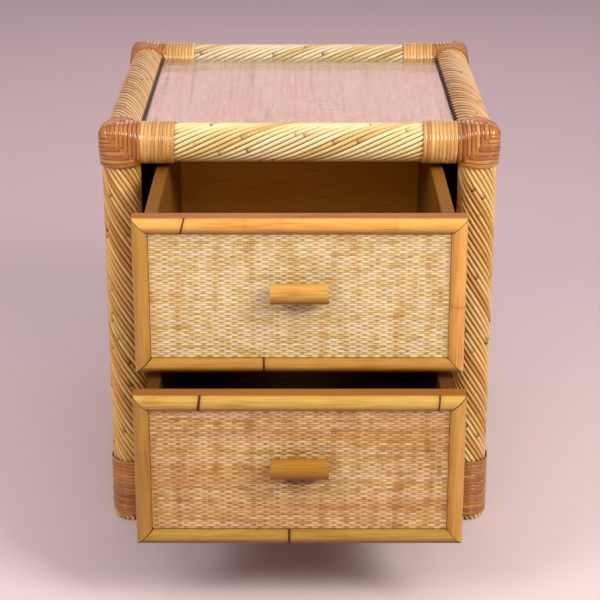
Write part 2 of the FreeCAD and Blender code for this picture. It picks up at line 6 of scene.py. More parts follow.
import logging
import math
from dataclasses import dataclass, replace
from enum import Enum
from typing import Any, Optional, Union

import bmesh
import bpy
import numpy as np
from mathutils import Matrix, Vector


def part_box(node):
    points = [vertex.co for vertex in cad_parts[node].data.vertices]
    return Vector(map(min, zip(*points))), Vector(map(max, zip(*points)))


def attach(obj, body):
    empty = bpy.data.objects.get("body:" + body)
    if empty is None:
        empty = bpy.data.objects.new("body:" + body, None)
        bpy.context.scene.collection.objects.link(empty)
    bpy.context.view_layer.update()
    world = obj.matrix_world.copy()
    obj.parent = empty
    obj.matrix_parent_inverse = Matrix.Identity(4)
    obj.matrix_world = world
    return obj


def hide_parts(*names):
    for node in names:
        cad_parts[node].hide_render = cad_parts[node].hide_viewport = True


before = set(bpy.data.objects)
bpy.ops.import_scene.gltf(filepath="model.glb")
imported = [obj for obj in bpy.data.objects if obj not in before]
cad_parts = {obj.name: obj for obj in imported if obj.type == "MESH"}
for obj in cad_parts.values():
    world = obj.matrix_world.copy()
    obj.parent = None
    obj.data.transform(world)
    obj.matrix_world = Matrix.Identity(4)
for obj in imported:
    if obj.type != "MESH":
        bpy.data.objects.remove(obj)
log = logging.getLogger("nightstand")

MM = 0.001
TURN = 2 * math.pi
WARP_PITCH = 6.63 * MM
GROOVE_BLUR = 0.6
KNOT_SHIFT = 7.31
Colour = tuple[float, float, float, float]


class Axis(Enum):
    """Direction that a pole, a cane or a grain runs along."""

    X = 0
    Y = 1
    Z = 2

    def turn(self) -> Matrix:
        """Find the rotation that lays a piece made along +Z along this axis.

        Returns:
            The rotation.
        """
        if self is Axis.X:
            return Matrix.Rotation(math.pi / 2, 4, "Y")
        return Matrix.Rotation(-math.pi / 2, 4, "X") if self is Axis.Y else Matrix()


class Body(Enum):
    """Bodies of the frame."""

    CASE = "case"
    UPPER = "upper_drawer"
    LOWER = "lower_drawer"


def colour(code: str) -> Colour:
    """Turn six hex digits into a linear colour.

    Args:
        code: red, green and blue as two hex digits each.

    Returns:
        The linear colour with full alpha.
    """
    parts = [int(code[place:place + 2], 16) / 255 for place in (0, 2, 4)]
    red, green, blue = [((part + 0.055) / 1.055) ** 2.4 for part in parts]
    return (red, green, blue, 1.0)


class Wire:
    """An output socket that takes part in Python arithmetic."""

    def __init__(self, graph: "Graph", socket: Optional[bpy.types.NodeSocket]) -> None:
        """Hold a socket and the graph that it belongs to."""
        self.graph = graph
        self.socket = socket

    def __getitem__(self, name: str) -> "Wire":
        """Another output of the same node."""
        return Wire(self.graph, self.socket.node.outputs[name])

    def __add__(self, other: "Feed") -> "Wire":
        """Sum."""
        return self.graph.math("ADD", self, other)

    def __sub__(self, other: "Feed") -> "Wire":
        """Difference."""
        return self.graph.math("SUBTRACT", self, other)

    def __rsub__(self, other: "Feed") -> "Wire":
        """Difference from a number."""
        return self.graph.math("SUBTRACT", other, self)

    def __mul__(self, other: "Feed") -> "Wire":
        """Product."""
        return self.graph.math("MULTIPLY", self, other)

    def __truediv__(self, other: "Feed") -> "Wire":
        """Quotient."""
        return self.graph.math("DIVIDE", self, other)

    def __rtruediv__(self, other: "Feed") -> "Wire":
        """Number over this."""
        return self.graph.math("DIVIDE", other, self)

    def __abs__(self) -> "Wire":
        """Size without sign."""
        return self.graph.math("ABSOLUTE", self)

    __radd__ = __add__
    __rmul__ = __mul__


Feed = Union[Wire, list[Wire], float, int, str, tuple, bpy.types.ID, None]


class Graph:
    """A node tree that is being laid out."""

    def __init__(self, tree: bpy.types.NodeTree) -> None:
        """Hold the tree."""
        self.tree = tree

    def node(self, kind: str, feeds: Optional[dict[Union[str, int], Feed]] = None, **settings: Any) -> Wire:
        """Add a node.

        Args:
            kind: the node's type.
            feeds: values or wires of its sockets, by name or by number.
            settings: its properties.

        Returns:
            Its first output in use.
        """
        made = self.tree.nodes.new(kind)
        for name, value in settings.items():
            setattr(made, name, value)
        for key, value in (feeds or {}).items():
            named = [s for s in made.inputs if s.enabled and s.name == key]
            socket = made.inputs[key] if isinstance(key, int) else named[0]
            for wire in value if isinstance(value, list) else [value]:
                if isinstance(wire, Wire):
                    self.tree.links.new(wire.socket, socket)
                else:
                    socket.default_value = wire
        return Wire(self, next((s for s in made.outputs if s.enabled), None))

    def math(self, operation: str, *values: Feed) -> Wire:
        """Arithmetic on one or more values."""
        return self.node("ShaderNodeMath", dict(enumerate(values)), operation=operation)

    def vector(self, x: Feed, y: Feed, z: Feed) -> Wire:
        """Vector from three values."""
        return self.node("ShaderNodeCombineXYZ", {"X": x, "Y": y, "Z": z})

    def attributes(self, *names: str) -> list[Wire]:
        """Numbers that the mesh carries under names."""
        return [self.node("ShaderNodeAttribute", attribute_name=name)["Fac"] for name in names]

    def noise(self, vector: Wire, scale: float, detail: float) -> Wire:
        """Soft noise from 0 to 1."""
        return self.node("ShaderNodeTexNoise", {"Vector": vector, "Scale": scale, "Detail": detail})

    def chance(self, vector: Wire) -> Wire:
        """Even random number for each whole-numbered cell."""
        return self.node("ShaderNodeTexWhiteNoise", {"Vector": vector}, noise_dimensions="3D")

    def rise(self, value: Feed, low: float, high: float) -> Wire:
        """Smooth step from 0 at low to 1 at high, or the other way when low is the larger.

        Args:
            value: what is stepped.
            low: where the result is 0.
            high: where the result is 1.

        Returns:
            The step.
        """
        if low > high:
            return 1 - self.rise(value, high, low)
        feeds = {"Value": value, "From Min": low, "From Max": high}
        return self.node("ShaderNodeMapRange", feeds, interpolation_type="SMOOTHSTEP")

    def mix(self, factor: Feed, first: Feed, second: Feed, blend: str = "MIX") -> Wire:
        """Blend of two colours."""
        feeds = {"Factor": factor, "A": first, "B": second}
        return self.node("ShaderNodeMix", feeds, data_type="RGBA", blend_type=blend)

    def stain(self, base: Wire, *layers: tuple[Wire, str]) -> Wire:
        """Lay colours over a colour.

        Args:
            base: the colour below.
            layers: strength and hex digits of each layer, from the lowest.

        Returns:
            The colour on top.
        """
        for strength, code in layers:
            base = self.mix(strength, base, colour(code))
        return base

    def lean(self, middle: float, *parts: tuple[Wire, float]) -> Wire:
        """Value that each part, from 0 to 1, pulls off the middle by its share."""
        return sum(((value - 0.5) * share for value, share in parts), middle)

    def ramp(self, value: Feed, *shades: str) -> Wire:
        """Evenly spaced colours over 0 to 1.

        Args:
            value: what is coloured.
            shades: at least two colours, as hex digits.

        Returns:
            The colour.
        """
        made = self.node("ShaderNodeValToRGB", {"Fac": value})
        stops = made.socket.node.color_ramp.elements
        for _ in shades[2:]:
            stops.new(1.0)
        for number, code in enumerate(shades):
            stops[number].position = number / (len(shades) - 1)
            stops[number].color = colour(code)
        return made

    def place(self) -> Wire:
        """Place on the piece, in metres."""
        return self.node("ShaderNodeTexCoord")["Object"]

    def knots(self, along: Wire, tone: Wire, spacing: Feed) -> tuple[Wire, Wire]:
        """Knots of a strand.

        Args:
            along: distance from the strand's start.
            tone: random number of the strand, which shifts its knots.
            spacing: distance from knot to knot.

        Returns:
            The distance past the nearest knot, in metres, and that knot's number.
        """
        turn = along / spacing + tone * KNOT_SHIFT
        return (self.math("FRACT", turn) - 0.5) * spacing, self.math("FLOOR", turn)


@dataclass(frozen=True)
class Drift:
    """Noise over three values: its rate over each of them, its detail and its share in a tone."""

    rates: tuple[float, float, float]
    detail: float = 2.0
    share: float = 1.0

    def over(self, first: Wire, *others: Feed) -> Wire:
        """Noise over a wire and two more values, from 0 to 1."""
        place = first.graph.vector(*[value * rate for value, rate in zip((first, *others), self.rates)])
        return first.graph.noise(place, 1.0, self.detail)


@dataclass(frozen=True)
class Grain:
    """Noise drawn out along one axis: its rates along and across it, its detail and its share in a tone."""

    along: float
    across: float
    detail: float
    share: float = 1.0

    def on(self, graph: Graph, axis: Axis) -> Wire:
        """Noise of a piece.

        Args:
            graph: the material's tree.
            axis: the way that its fibres run.

        Returns:
            The noise, from 0 to 1.
        """
        scale = [self.across] * 3
        scale[axis.value] = self.along
        spread = graph.node("ShaderNodeMapping", {"Vector": graph.place(), "Scale": tuple(scale)})
        return graph.noise(spread, 1.0, self.detail)


@dataclass(frozen=True)
class Band:
    """Smooth step over a value: where it starts, where it is full and how strong it is there."""

    start: float
    full: float
    share: float = 1.0

    def of(self, value: Wire) -> Wire:
        """Strength of the step at a value."""
        return value.graph.rise(value, self.start, self.full) * self.share


@dataclass(frozen=True)
class Gloss:
    """How rough a surface is, how much its texture adds to that and how deep the texture is."""

    rough: Feed
    added: float
    relief: float


@dataclass(frozen=True)
class Finish:
    """A surface finish, which becomes one material."""

    name: str

    def material(self) -> bpy.types.Material:
        """Make the material of this finish at its first use.

        Returns:
            The material.
        """
        found = bpy.data.materials.get(self.name)
        if found:
            return found
        made = bpy.data.materials.new(self.name)
        made.use_nodes = True
        made.node_tree.nodes.clear()
        graph = Graph(made.node_tree)
        graph.node("ShaderNodeOutputMaterial", {"Surface": self.shade(graph)})
        return made

    def shade(self, graph: Graph) -> Wire:
        """Lay the finish out.

        Args:
            graph: the material's empty tree.

        Returns:
            The shader.
        """
        raise NotImplementedError

    @staticmethod
    def surface(base: Wire, texture: Wire, gloss: Gloss, others: dict[str, Feed]) -> Wire:
        """Shader of a surface.

        Args:
            base: its colour.
            texture: its relief, from 0 to 1, which also roughens it.
            gloss: how rough and how deep it is.
            others: values and wires of the shader's other sockets.

        Returns:
            The shader.
        """
        graph = base.graph
        feeds = {"Base Color": base, "Roughness": texture * gloss.added + gloss.rough, **others}
        feeds["Normal"] = graph.node("ShaderNodeBump", {"Distance": gloss.relief, "Height": texture})
        return graph.node("ShaderNodeBsdfPrincipled", feeds)


@dataclass(frozen=True)
class ReedFinish(Finish):
    """Lacquered pencil reed: every reed has its own tone, fine fibres, dark knots and painted shade on its
    flanks.
    """

    shades: tuple[str, ...]
    own_share: float = 0.7
    patch: Drift = Drift((16.0, 5.3, 9.0), 3.0, 0.5)
    fibre: Drift = Drift((45.0, 3.1, 22.0))
    fibre_mark: Band = Band(0.45, 0.75, 0.3)
    knot_shade: str = "4A2E16"
    knot_spacing: float = 0.12
    knot_size: float = 1.3 * MM
    knot_blur: float = 0.7 * MM
    knot_wander: float = 1.6 * MM
    knot_share: float = 0.9
    knot_odds: Band = Band(0.3, 0.95)
    knot_draw: float = 17.0
    smudge: float = 0.45
    smudge_start: Band = Band(-2.5 * MM, -0.5 * MM)
    smudge_end: Band = Band(11.0 * MM, 0.5 * MM)
    groove_shadow_shade: str = "6B4A22"
    flank: float = -0.6
    flank_share: float = 0.85
    # Painted shadow line just above a height and within a distance of the middle, off unless set.
    seam_shadow_shade: str = "2A1608"
    seam_shadow_below: float = -1.0
    seam_shadow_within: float = 1.0
    seam_shadow_blur: tuple[float, float] = (4.0 * MM, 2.0 * MM)
    seam_shadow_share: float = 0.9
    gloss: Gloss = Gloss(0.42, 0.16, 0.12 * MM)
    shine: float = 0.42

    def shade(self, graph: Graph) -> Wire:
        """Tone by reed, fibres along it, knots across it and painted shade in the grooves and by the glass.

        Args:
            graph: the material's empty tree.

        Returns:
            The shader.
        """
        tone, along, strand, around = graph.attributes("tone", "along", "strand", "around")
        patches, fibres = self.patch.over(along, strand, tone), self.fibre.over(along, strand, around)
        mixed = graph.lean(0.5, (tone, self.own_share), (patches, self.patch.share))
        base = graph.ramp(mixed, *self.shades)
        base = graph.mix(self.fibre_mark.of(fibres), base, colour(self.shades[0]), "MULTIPLY")
        past, number = graph.knots(along, tone, self.knot_spacing)
        past = past + (patches - 0.5) * self.knot_wander
        strong = self.knot_odds.of(graph.chance(graph.vector(number, strand, tone * self.knot_draw)))
        smudge = self.smudge_start.of(past) * self.smudge_end.of(past) * strong * self.smudge
        knot = Band(self.knot_size, self.knot_size - self.knot_blur, self.knot_share).of(abs(past))
        # Painted shade on the flanks, where the grooves between the reeds lie in shade.
        crest = graph.math("COSINE", around * TURN)
        flank = Band(self.flank, self.flank + GROOVE_BLUR, self.flank_share).of(crest)
        # Painted shadow line low on the side rails' inner side, where they meet the glass.
        place = graph.node("ShaderNodeSeparateXYZ", {"Vector": graph.place()})
        side_blur, low_blur = self.seam_shadow_blur
        inside = Band(self.seam_shadow_within, self.seam_shadow_within - side_blur).of(abs(place["X"]))
        seam = Band(self.seam_shadow_below, self.seam_shadow_below - low_blur, self.seam_shadow_share).of(place["Z"]) * inside
        base = graph.stain(base, (smudge, self.knot_shade), (knot * strong, self.knot_shade),
                           (flank, self.groove_shadow_shade), (seam, self.seam_shadow_shade))
        return self.surface(base, fibres, self.gloss, {"Specular IOR Level": self.shine})


@dataclass(frozen=True)
class PeelFinish(Finish):
    """Lacquered rattan peel: turns differ in tone, with streaks along the strip and painted groove shade."""

    shades: tuple[str, ...]
    turn_length: float = 0.15
    turn_draw: float = 31.0
    own_share: float = 0.55
    patch: Drift = Drift((22.0, 3.7, 17.0), 3.0, 0.8)
    patch_lane: float = 5.1 / 3.7
    streak: Drift = Drift((30.0, 17.0, 2.3), 3.0)
    streak_lane: float = 3.9 / 2.3
    streak_mark: Band = Band(0.5, 0.78, 0.4)
    gap_shadow_shade: str = "4A2006"
    gap_edge: float = -0.5
    gap_share: float = 0.3
    gloss: Gloss = Gloss(0.27, 0.2, 0.12 * MM)
    coat: float = 0.9
    coat_gloss: float = 0.1

    def shade(self, graph: Graph) -> Wire:
        """Tone by turn, streaks along the strip and painted shade between the turns.

        Args:
            graph: the material's empty tree.

        Returns:
            The shader.
        """
        tone, along, strand, around = graph.attributes("tone", "along", "strand", "around")
        turn = graph.math("FLOOR", along / self.turn_length)
        own = graph.chance(graph.vector(turn, strand, tone * self.turn_draw))
        patches = self.patch.over(along, turn + strand * self.patch_lane, tone)
        streaks = self.streak.over(along, around, turn + strand * self.streak_lane)
        mixed = graph.lean(0.5, (own, self.own_share), (patches, self.patch.share))
        base = graph.ramp(mixed, *self.shades)
        base = graph.mix(self.streak_mark.of(streaks), base, colour(self.shades[0]), "MULTIPLY")
        # Painted shade at the strip edges, where the grooves between turns lie in shade.
        crest = graph.math("COSINE", around * TURN)
        gap = Band(self.gap_edge, self.gap_edge + GROOVE_BLUR, self.gap_share).of(crest)
        base = graph.stain(base, (gap, self.gap_shadow_shade))
        coat = {"Coat Weight": self.coat, "Coat Roughness": self.coat_gloss}
        return self.surface(base, streaks, self.gloss, coat)


@dataclass(frozen=True)
class CaneFinish(Finish):
    """Lacquered split cane along one axis: long fibres, cloudy tone and dark rings at its nodes."""

    axis: Axis
    shades: tuple[str, ...]
    middle: float = 0.48
    cloud: Grain = Grain(12.0, 34.0, 3.0, 1.1)
    fibre: Grain = Grain(23.8, 578.0, 4.0, 1.5)
    speck: Grain = Grain(16.1, 391.0, 2.0)
    speck_mark: Band = Band(0.66, 0.74, 0.35)
    halo_share: float = 0.4
    age_shade: str = "BEBFA1"
    low_shadow_shade: str = "6A3206"
    low_shadow_share: float = 0.9
    ring_shade: str = "3E1A02"
    ring_share: float = 0.92
    ring_fray: float = 0.5
    ring_edge: Band = Band(0.35, 0.75)
    gloss: Gloss = Gloss(0.34, 0.18, 0.08 * MM)
    ring_gloss: float = 0.4
    coat: float = 0.18
    coat_gloss: float = 0.22
    shine: float = 0.3

    def shade(self, graph: Graph) -> Wire:
        """Fibres along the cane, a painted shadow on the low sides and rings at its nodes.

        Args:
            graph: the material's empty tree.

        Returns:
            The shader.
        """
        halo, age, low_side, ring = graph.attributes("halo", "age", "low_side", "ring")
        grains = (self.cloud, self.fibre, self.speck)
        clouds, fibres, specks = [grain.on(graph, self.axis) for grain in grains]
        mixed = graph.lean(self.middle, (clouds, self.cloud.share), (fibres, self.fibre.share))
        base = graph.stain(graph.ramp(mixed, *self.shades), (self.speck_mark.of(specks), self.ring_shade))
        base = graph.mix(halo * self.halo_share, base, colour(self.shades[0]), "MULTIPLY")
        base = graph.mix(age, base, colour(self.age_shade), "MULTIPLY")
        ring = self.ring_edge.of(ring + (fibres - 0.5) * self.ring_fray)
        # Painted shadow on the lower edges, which the light from above leaves in shade.
        base = graph.stain(base, (low_side * self.low_shadow_share, self.low_shadow_shade),
                           (ring * self.ring_share, self.ring_shade))
        gloss = replace(self.gloss, rough=ring * self.ring_gloss + self.gloss.rough)
        coat = {"Coat Weight": (1 - ring) * self.coat, "Coat Roughness": self.coat_gloss}
        return self.surface(base, fibres, gloss, {**coat, "Specular IOR Level": self.shine})


@dataclass(frozen=True)
class WeaveFinish(Finish):
    """Woven split reed: strands, patches and single floats differ in tone; painted shade where they dip."""

    shades: tuple[str, ...]
    warm_shade: str
    cool_shade: str
    float_length: float = 2 * WARP_PITCH
    float_shift: float = 0.25
    float_draw: float = 3.0
    middle: float = 0.375
    own_share: float = 0.45
    patch: Drift = Drift((42.0, 0.14, 0.0), 3.0, 0.55)
    run: Drift = Drift((7.0, 7.7, 4.0), 2.0, 0.25)
    column: Drift = Drift((90.0, 0.025, 9.0), 1.0, -0.7)
    column_mark: Band = Band(0.55, 0.75, 0.4)
    streak_share: float = 0.0
    streak: Drift = Drift((5.0, 0.25, 31.0))
    row_share: float = 0.14
    hue: Drift = Drift((30.0, 0.31, 21.0))
    hue_mark: Band = Band(0.46, 0.64, 0.6)
    fibre: Drift = Drift((120.0, 9.1, 14.0))
    fibre_mark: Band = Band(0.5, 0.8, 0.25)
    band: Drift = Drift((2.5, 0.12, 12.0))
    band_mark: Band = Band(0.42, 0.6, 0.0)
    dip_shadow_shade: str = "8A5622"
    dip_shadow_mark: Band = Band(1.0, 0.0, 0.24)
    flank_shadow_mark: Band = Band(0.6, 1.0, 0.24)
    # Painted shadow of the pull on the mat: the pull's node, the shadow's colour, strength and place.
    pull: str = ""
    pull_shadow_shade: str = "5E2A08"
    pull_shadow_mark: Band = Band(1.0, 0.2)
    pull_shadow_spread: float = 2.4
    pull_shadow_drop: float = 8.0 * MM
    pull_shadow_height: float = 6.5 * MM
    gloss: Gloss = Gloss(0.5, 0.2, 0.08 * MM)

    def shade(self, graph: Graph) -> Wire:
        """Tone by strand, patch and float.

        Args:
            graph: the material's empty tree.

        Returns:
            The shader.
        """
        tone, along, strand, lift, around = graph.attributes("tone", "along", "strand", "lift", "around")
        cell = graph.math("FLOOR", along / self.float_length + strand * 0.5 + self.float_shift)
        own = graph.chance(graph.vector(cell, strand, self.float_draw))
        fibres = self.fibre.over(along, strand, around)
        drifts = (self.patch, self.run, self.column, self.streak, self.hue, self.band)
        patches, runs, columns, streaks, hues, bands = [drift.over(along, strand, 1.0) for drift in drifts]
        mixed = graph.lean(self.middle, (own, self.own_share), (patches, self.patch.share),
                           (runs, self.run.share), (columns, self.column.share), (streaks, self.streak_share))
        base = graph.ramp(mixed + tone * self.row_share, *self.shades)
        base = graph.stain(base, (self.hue_mark.of(hues), self.cool_shade),
                           (self.column_mark.of(columns), self.warm_shade))
        base = graph.mix(self.fibre_mark.of(fibres), base, colour(self.shades[0]), "MULTIPLY")
        base = graph.stain(base, (self.band_mark.of(bands), self.warm_shade))
        # Painted shadow of the pull on the mat.
        if self.pull:
            base = graph.stain(base, (self.pull_shadow(graph), self.pull_shadow_shade))
        # Painted shade where strands dip under their neighbours and along the strand edges.
        dark = self.dip_shadow_mark.of(lift) + self.flank_shadow_mark.of(abs(graph.math("COSINE", around * TURN)))
        base = graph.stain(base, (dark, self.dip_shadow_shade))
        return self.surface(base, fibres, self.gloss, {})

    def pull_shadow(self, graph: Graph) -> Wire:
        """Painted shadow on the mat just below the pull.

        Args:
            graph: the material's tree.

        Returns:
            How strong the mark is.
        """
        low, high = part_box(self.pull)
        place = graph.node("ShaderNodeSeparateXYZ", {"Vector": graph.place()})
        aside = (place["X"] - (low.x + high.x) / 2) / (high.x - low.x) * self.pull_shadow_spread
        below = (place["Z"] - low.z + self.pull_shadow_drop) / self.pull_shadow_height
        return self.pull_shadow_mark.of(aside * aside + below * below)


@dataclass(frozen=True)
class BoardFinish(Finish):
    """Stained wood with its grain along one axis."""

    axis: Axis
    shades: tuple[str, ...]
    rough: float = 0.5
    pore_rough: float = 0.2
    middle: float = 0.48
    figure: Grain = Grain(3.52, 41.6, 4.0, 0.85)
    stain: Grain = Grain(9.0, 9.0, 3.0, 0.35)
    pore: Grain = Grain(14.0, 420.0, 3.0)
    pore_mark: Band = Band(0.55, 0.75, 0.4)
    relief: float = 0.15 * MM

    def shade(self, graph: Graph) -> Wire:
        """Broad figure, fine pores and uneven stain.

        Args:
            graph: the material's empty tree.

        Returns:
            The shader.
        """
        grains = (self.figure, self.stain, self.pore)
        figure, stain, pores = [grain.on(graph, self.axis) for grain in grains]
        mixed = graph.lean(self.middle, (figure, self.figure.share), (stain, self.stain.share))
        base = graph.ramp(mixed, *self.shades)
        base = graph.mix(self.pore_mark.of(pores), base, colour(self.shades[0]), "MULTIPLY")
        return self.surface(base, pores, Gloss(self.rough, self.pore_rough, self.relief), {})


@dataclass(frozen=True)
class GlassFinish(Finish):
    """Clear float glass with a trace of smears, which lets most light straight through."""

    tint: str = "F4F8F6"
    bend: float = 1.5
    body: float = 0.4
    gloss: float = 0.01
    smear: Grain = Grain(14.0, 14.0, 3.0)
    smear_mark: Band = Band(0.55, 0.9, 0.05)

    def shade(self, graph: Graph) -> Wire:
        """Clear body and an almost smooth face.

        Args:
            graph: the material's empty tree.

        Returns:
            The shader.
        """
        rough = self.smear_mark.of(self.smear.on(graph, Axis.X)) + self.gloss
        feeds = {"Base Color": colour(self.tint), "Roughness": rough, "Transmission Weight": 1.0}
        feeds |= {"IOR": self.bend, "Alpha": self.body}
        return graph.node("ShaderNodeBsdfPrincipled", feeds)


@dataclass(frozen=True)
class SteelFinish(Finish):
    """Plain steel of the screws."""

    shades: tuple[str, str] = ("6E6A64", "A8A49C")
    gloss: Gloss = Gloss(0.3, 0.25, 0.03 * MM)
    wear: Grain = Grain(900.0, 900.0, 2.0)

    def shade(self, graph: Graph) -> Wire:
        """Uneven grey metal.

        Args:
            graph: the material's empty tree.

        Returns:
            The shader.
        """
        wear = self.wear.on(graph, Axis.X)
        return self.surface(graph.ramp(wear, *self.shades), wear, self.gloss, {"Metallic": 1.0})


RAIL_REED = ReedFinish("rail_reed", ("B98A48", "E2C37C", "F0DC9E", "F7E9BC", "E8BE7E"))
# Darker, greyer copy of the front rail's reeds: painted shade on the rear rail.
SHADED_REAR_REED = ReedFinish("rear_reed", ("A57C44", "CDB178", "DBC99A", "E3D8B6", "D3AE7A"))
# The side rails carry a painted shadow line just above the glass, on their inner side.
SIDE_REED = ReedFinish("side_reed", ("BC8C58", "DAB078", "E8C492", "F0D0A2", "D6A874"), smudge=0.25,
                       groove_shadow_shade="6E3C1A", flank=-0.95, seam_shadow_below=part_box("glass_top")[1].z + 2.6 * MM,
                       seam_shadow_within=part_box("top_rail_reeds_right")[0].x + 16 * MM)
POST_REED = ReedFinish("post_reed", ("8E5A26", "C48C44", "DCB062", "EACA86", "CC9450"), own_share=0.55,
                       knot_spacing=0.11, knot_size=1.8 * MM, smudge=0.55)
CORNER_PEEL = PeelFinish("corner_peel", ("7A420C", "A2601A", "BA7828", "D09E4C"), turn_length=1.0,
                         own_share=0.65)
RAIL_PEEL = PeelFinish("rail_peel", ("A26428", "C89246", "DCAE64", "ECCA8C"))
# The feet get a wider, stronger painted shade between their turns.
FOOT_PEEL = PeelFinish("foot_peel", ("5E2E04", "985810", "C27E22", "DEA846"), own_share=0.35,
                       gap_edge=-0.9, gap_share=0.5, coat=0.6)
CANE_X, CANE_Z = [CaneFinish(f"cane_{axis.name.lower()}", axis, ("C48234", "DEA24A", "E8B25C", "ECBC6C"))
                  for axis in (Axis.X, Axis.Z)]
YELLOW_CANE = CaneFinish("yellow_cane", Axis.X, ("B8843A", "D4A64E", "E0B860", "E8C474"))
UPPER_PULL = CaneFinish("upper_pull_cane", Axis.X, ("A87224", "C89A46", "D4AA54", "DCB65E"))
# Darker copy of the upper pull's cane: painted shade on the lower drawer.
SHADED_LOWER_PULL = CaneFinish("lower_pull_cane", Axis.X, ("784808", "966214", "A2701A", "AC7A22"))
UPPER_WEAVE = WeaveFinish("upper_weave", ("B08A48", "D0B472", "E0CE90", "EADEB4", "DEBA7A"),
                          "E0A860", "E4D0B4", pull="upper_pull", pull_shadow_mark=Band(1.0, 0.2, 0.35))
# Darker shades than the upper mat: painted shade on the lower drawer, with its own hue bands.
SHADED_LOWER_WEAVE = WeaveFinish("lower_weave", ("8E622A", "B28C4A", "CAA65E", "E0C48C", "C08C46"),
                          "B8783A", "DEC0A2", pull="lower_pull", pull_shadow_mark=Band(1.0, 0.2, 0.75),
                          streak_share=0.7, hue=Drift((6.0, 0.6, 21.0)), band_mark=Band(0.42, 0.6, 0.4))
TOP_WEAVE = WeaveFinish("top_weave", ("B48C54", "DCBC82", "EED6A2", "FAEAC4", "EAC692"),
                        "D09060", "E0BCA8", streak_share=1.6, row_share=0.6)
POLE_WOOD, CASE_WOOD, LOWER_POLE = [
    {axis: kind(f"{name}_{axis.name.lower()}", axis, shades) for axis in Axis}
    for kind, name, shades in ((BoardFinish, "pole", ("5A3818", "7A5026", "966636")),
                               (BoardFinish, "case_wood", ("4E2E12", "7A4C22", "94622E")),
                               (CaneFinish, "lower_pole", ("A8702E", "C08C48", "CC9C58", "D6AA68")))]
UPPER_FRONT = BoardFinish("upper_front_wood", Axis.X, ("8A522A", "A86C3C", "B88050"), 0.42)
# Darker copy of the upper front wood: painted shade on the lower drawer.
SHADED_LOWER_FRONT = BoardFinish("lower_front_wood", Axis.X, ("7E4A16", "9C6424", "AC7634"), 0.42)
UPPER_SIDE = BoardFinish("upper_box_side", Axis.Y, ("664008", "84560C", "986814"), 0.4)
# Darker copy of the upper box side: painted shadow of the upper drawer over the lower one.
SHADED_LOWER_SIDE = BoardFinish("lower_box_side", Axis.Y, ("442408", "5E380C", "704610"), 0.4)
UPPER_INSIDE = BoardFinish("upper_inside", Axis.X, ("B0781A", "D8A42E", "E8B840"), 0.4)
# Darker copy of the upper inside wood: painted shade inside the lower drawer.
SHADED_LOWER_INSIDE = BoardFinish("lower_inside", Axis.X, ("5C3A0A", "7A5414", "8C641C"), 0.4)
GLASS = GlassFinish("clear_glass")
STEEL = SteelFinish("screw_steel")


def add_piece(name: str, mesh: bpy.types.Mesh, body: Body, node: str) -> None:
    """Show a finished mesh as a piece of the nightstand.

    Args:
        name: the piece's name.
        mesh: its mesh, in place.
        body: the body that it moves with.
        node: the plain node that it stands for.
    """
    mesh.name = name
    piece = bpy.data.objects.new(name, mesh)
    bpy.context.scene.collection.objects.link(piece)
    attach(piece, body.value)
    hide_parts(node)
    log.info("%s: %d faces on %s", name, len(mesh.polygons), body.value)


def put_on(mesh: bpy.types.Mesh, finish: Finish) -> None:
    """Dress a mesh with one finish alone."""
    mesh.materials.clear()
    mesh.materials.append(finish.material())


def carry(mesh: bpy.types.Mesh, name: str, values: np.ndarray) -> None:
    """Let a mesh carry a number at each of its points, under a name."""
    attribute = mesh.attributes.new(name, "FLOAT", "POINT")
    attribute.data.foreach_set("value", np.ascontiguousarray(values, np.float32).ravel())


def join_meshes(meshes: list[bpy.types.Mesh]) -> bpy.types.Mesh:
    """Join meshes that carry the same named numbers.

    Args:
        meshes: at least one mesh, which are used up.

    Returns:
        One mesh with all their faces and finishes.
    """
    holders = []
    for mesh in meshes:
        holder = bpy.data.objects.new("join", mesh)
        bpy.context.scene.collection.objects.link(holder)
        holders.append(holder)
    with bpy.context.temp_override(active_object=holders[0], selected_editable_objects=holders):
        bpy.ops.object.join()
    joined = holders[0].data
    bpy.data.objects.remove(holders[0])
    return joined


def mesh_from_grid(rings: np.ndarray, numbers: dict[str, np.ndarray], finish: Finish) -> bpy.types.Mesh:
    """Closed mesh from rings of points that follow a path.

    Args:
        rings: places with shape (rings, points in a ring, 3).
        numbers: named numbers with shape (rings, points in a ring).
        finish: what the mesh is dressed with.

    Returns:
        The mesh, smooth along the path and closed at both ends.
    """
    steps, around = rings.shape[:2]
    index = np.arange(steps * around).reshape(steps, around)
    after = np.roll(index, -1, axis=1)
    quads = np.stack([index[:-1], after[:-1], after[1:], index[1:]], axis=-1).reshape(-1, 4)
    caps = [index[0][::-1].tolist(), index[-1].tolist()]
    mesh = bpy.data.meshes.new("rings")
    mesh.from_pydata(rings.reshape(-1, 3).tolist(), [], quads.tolist() + caps)
    mesh.shade_smooth()
    for name, values in numbers.items():
        carry(mesh, name, values)
    put_on(mesh, finish)
    return mesh


def face_outwards(mesh: bpy.types.Mesh) -> None:
    """Turn every closed shell of a mesh the right way out.

    Args:
        mesh: the mesh to mend.
    """
    shells = bmesh.new()
    shells.from_mesh(mesh)
    bmesh.ops.recalc_face_normals(shells, faces=shells.faces)
    shells.to_mesh(mesh)
    shells.free()


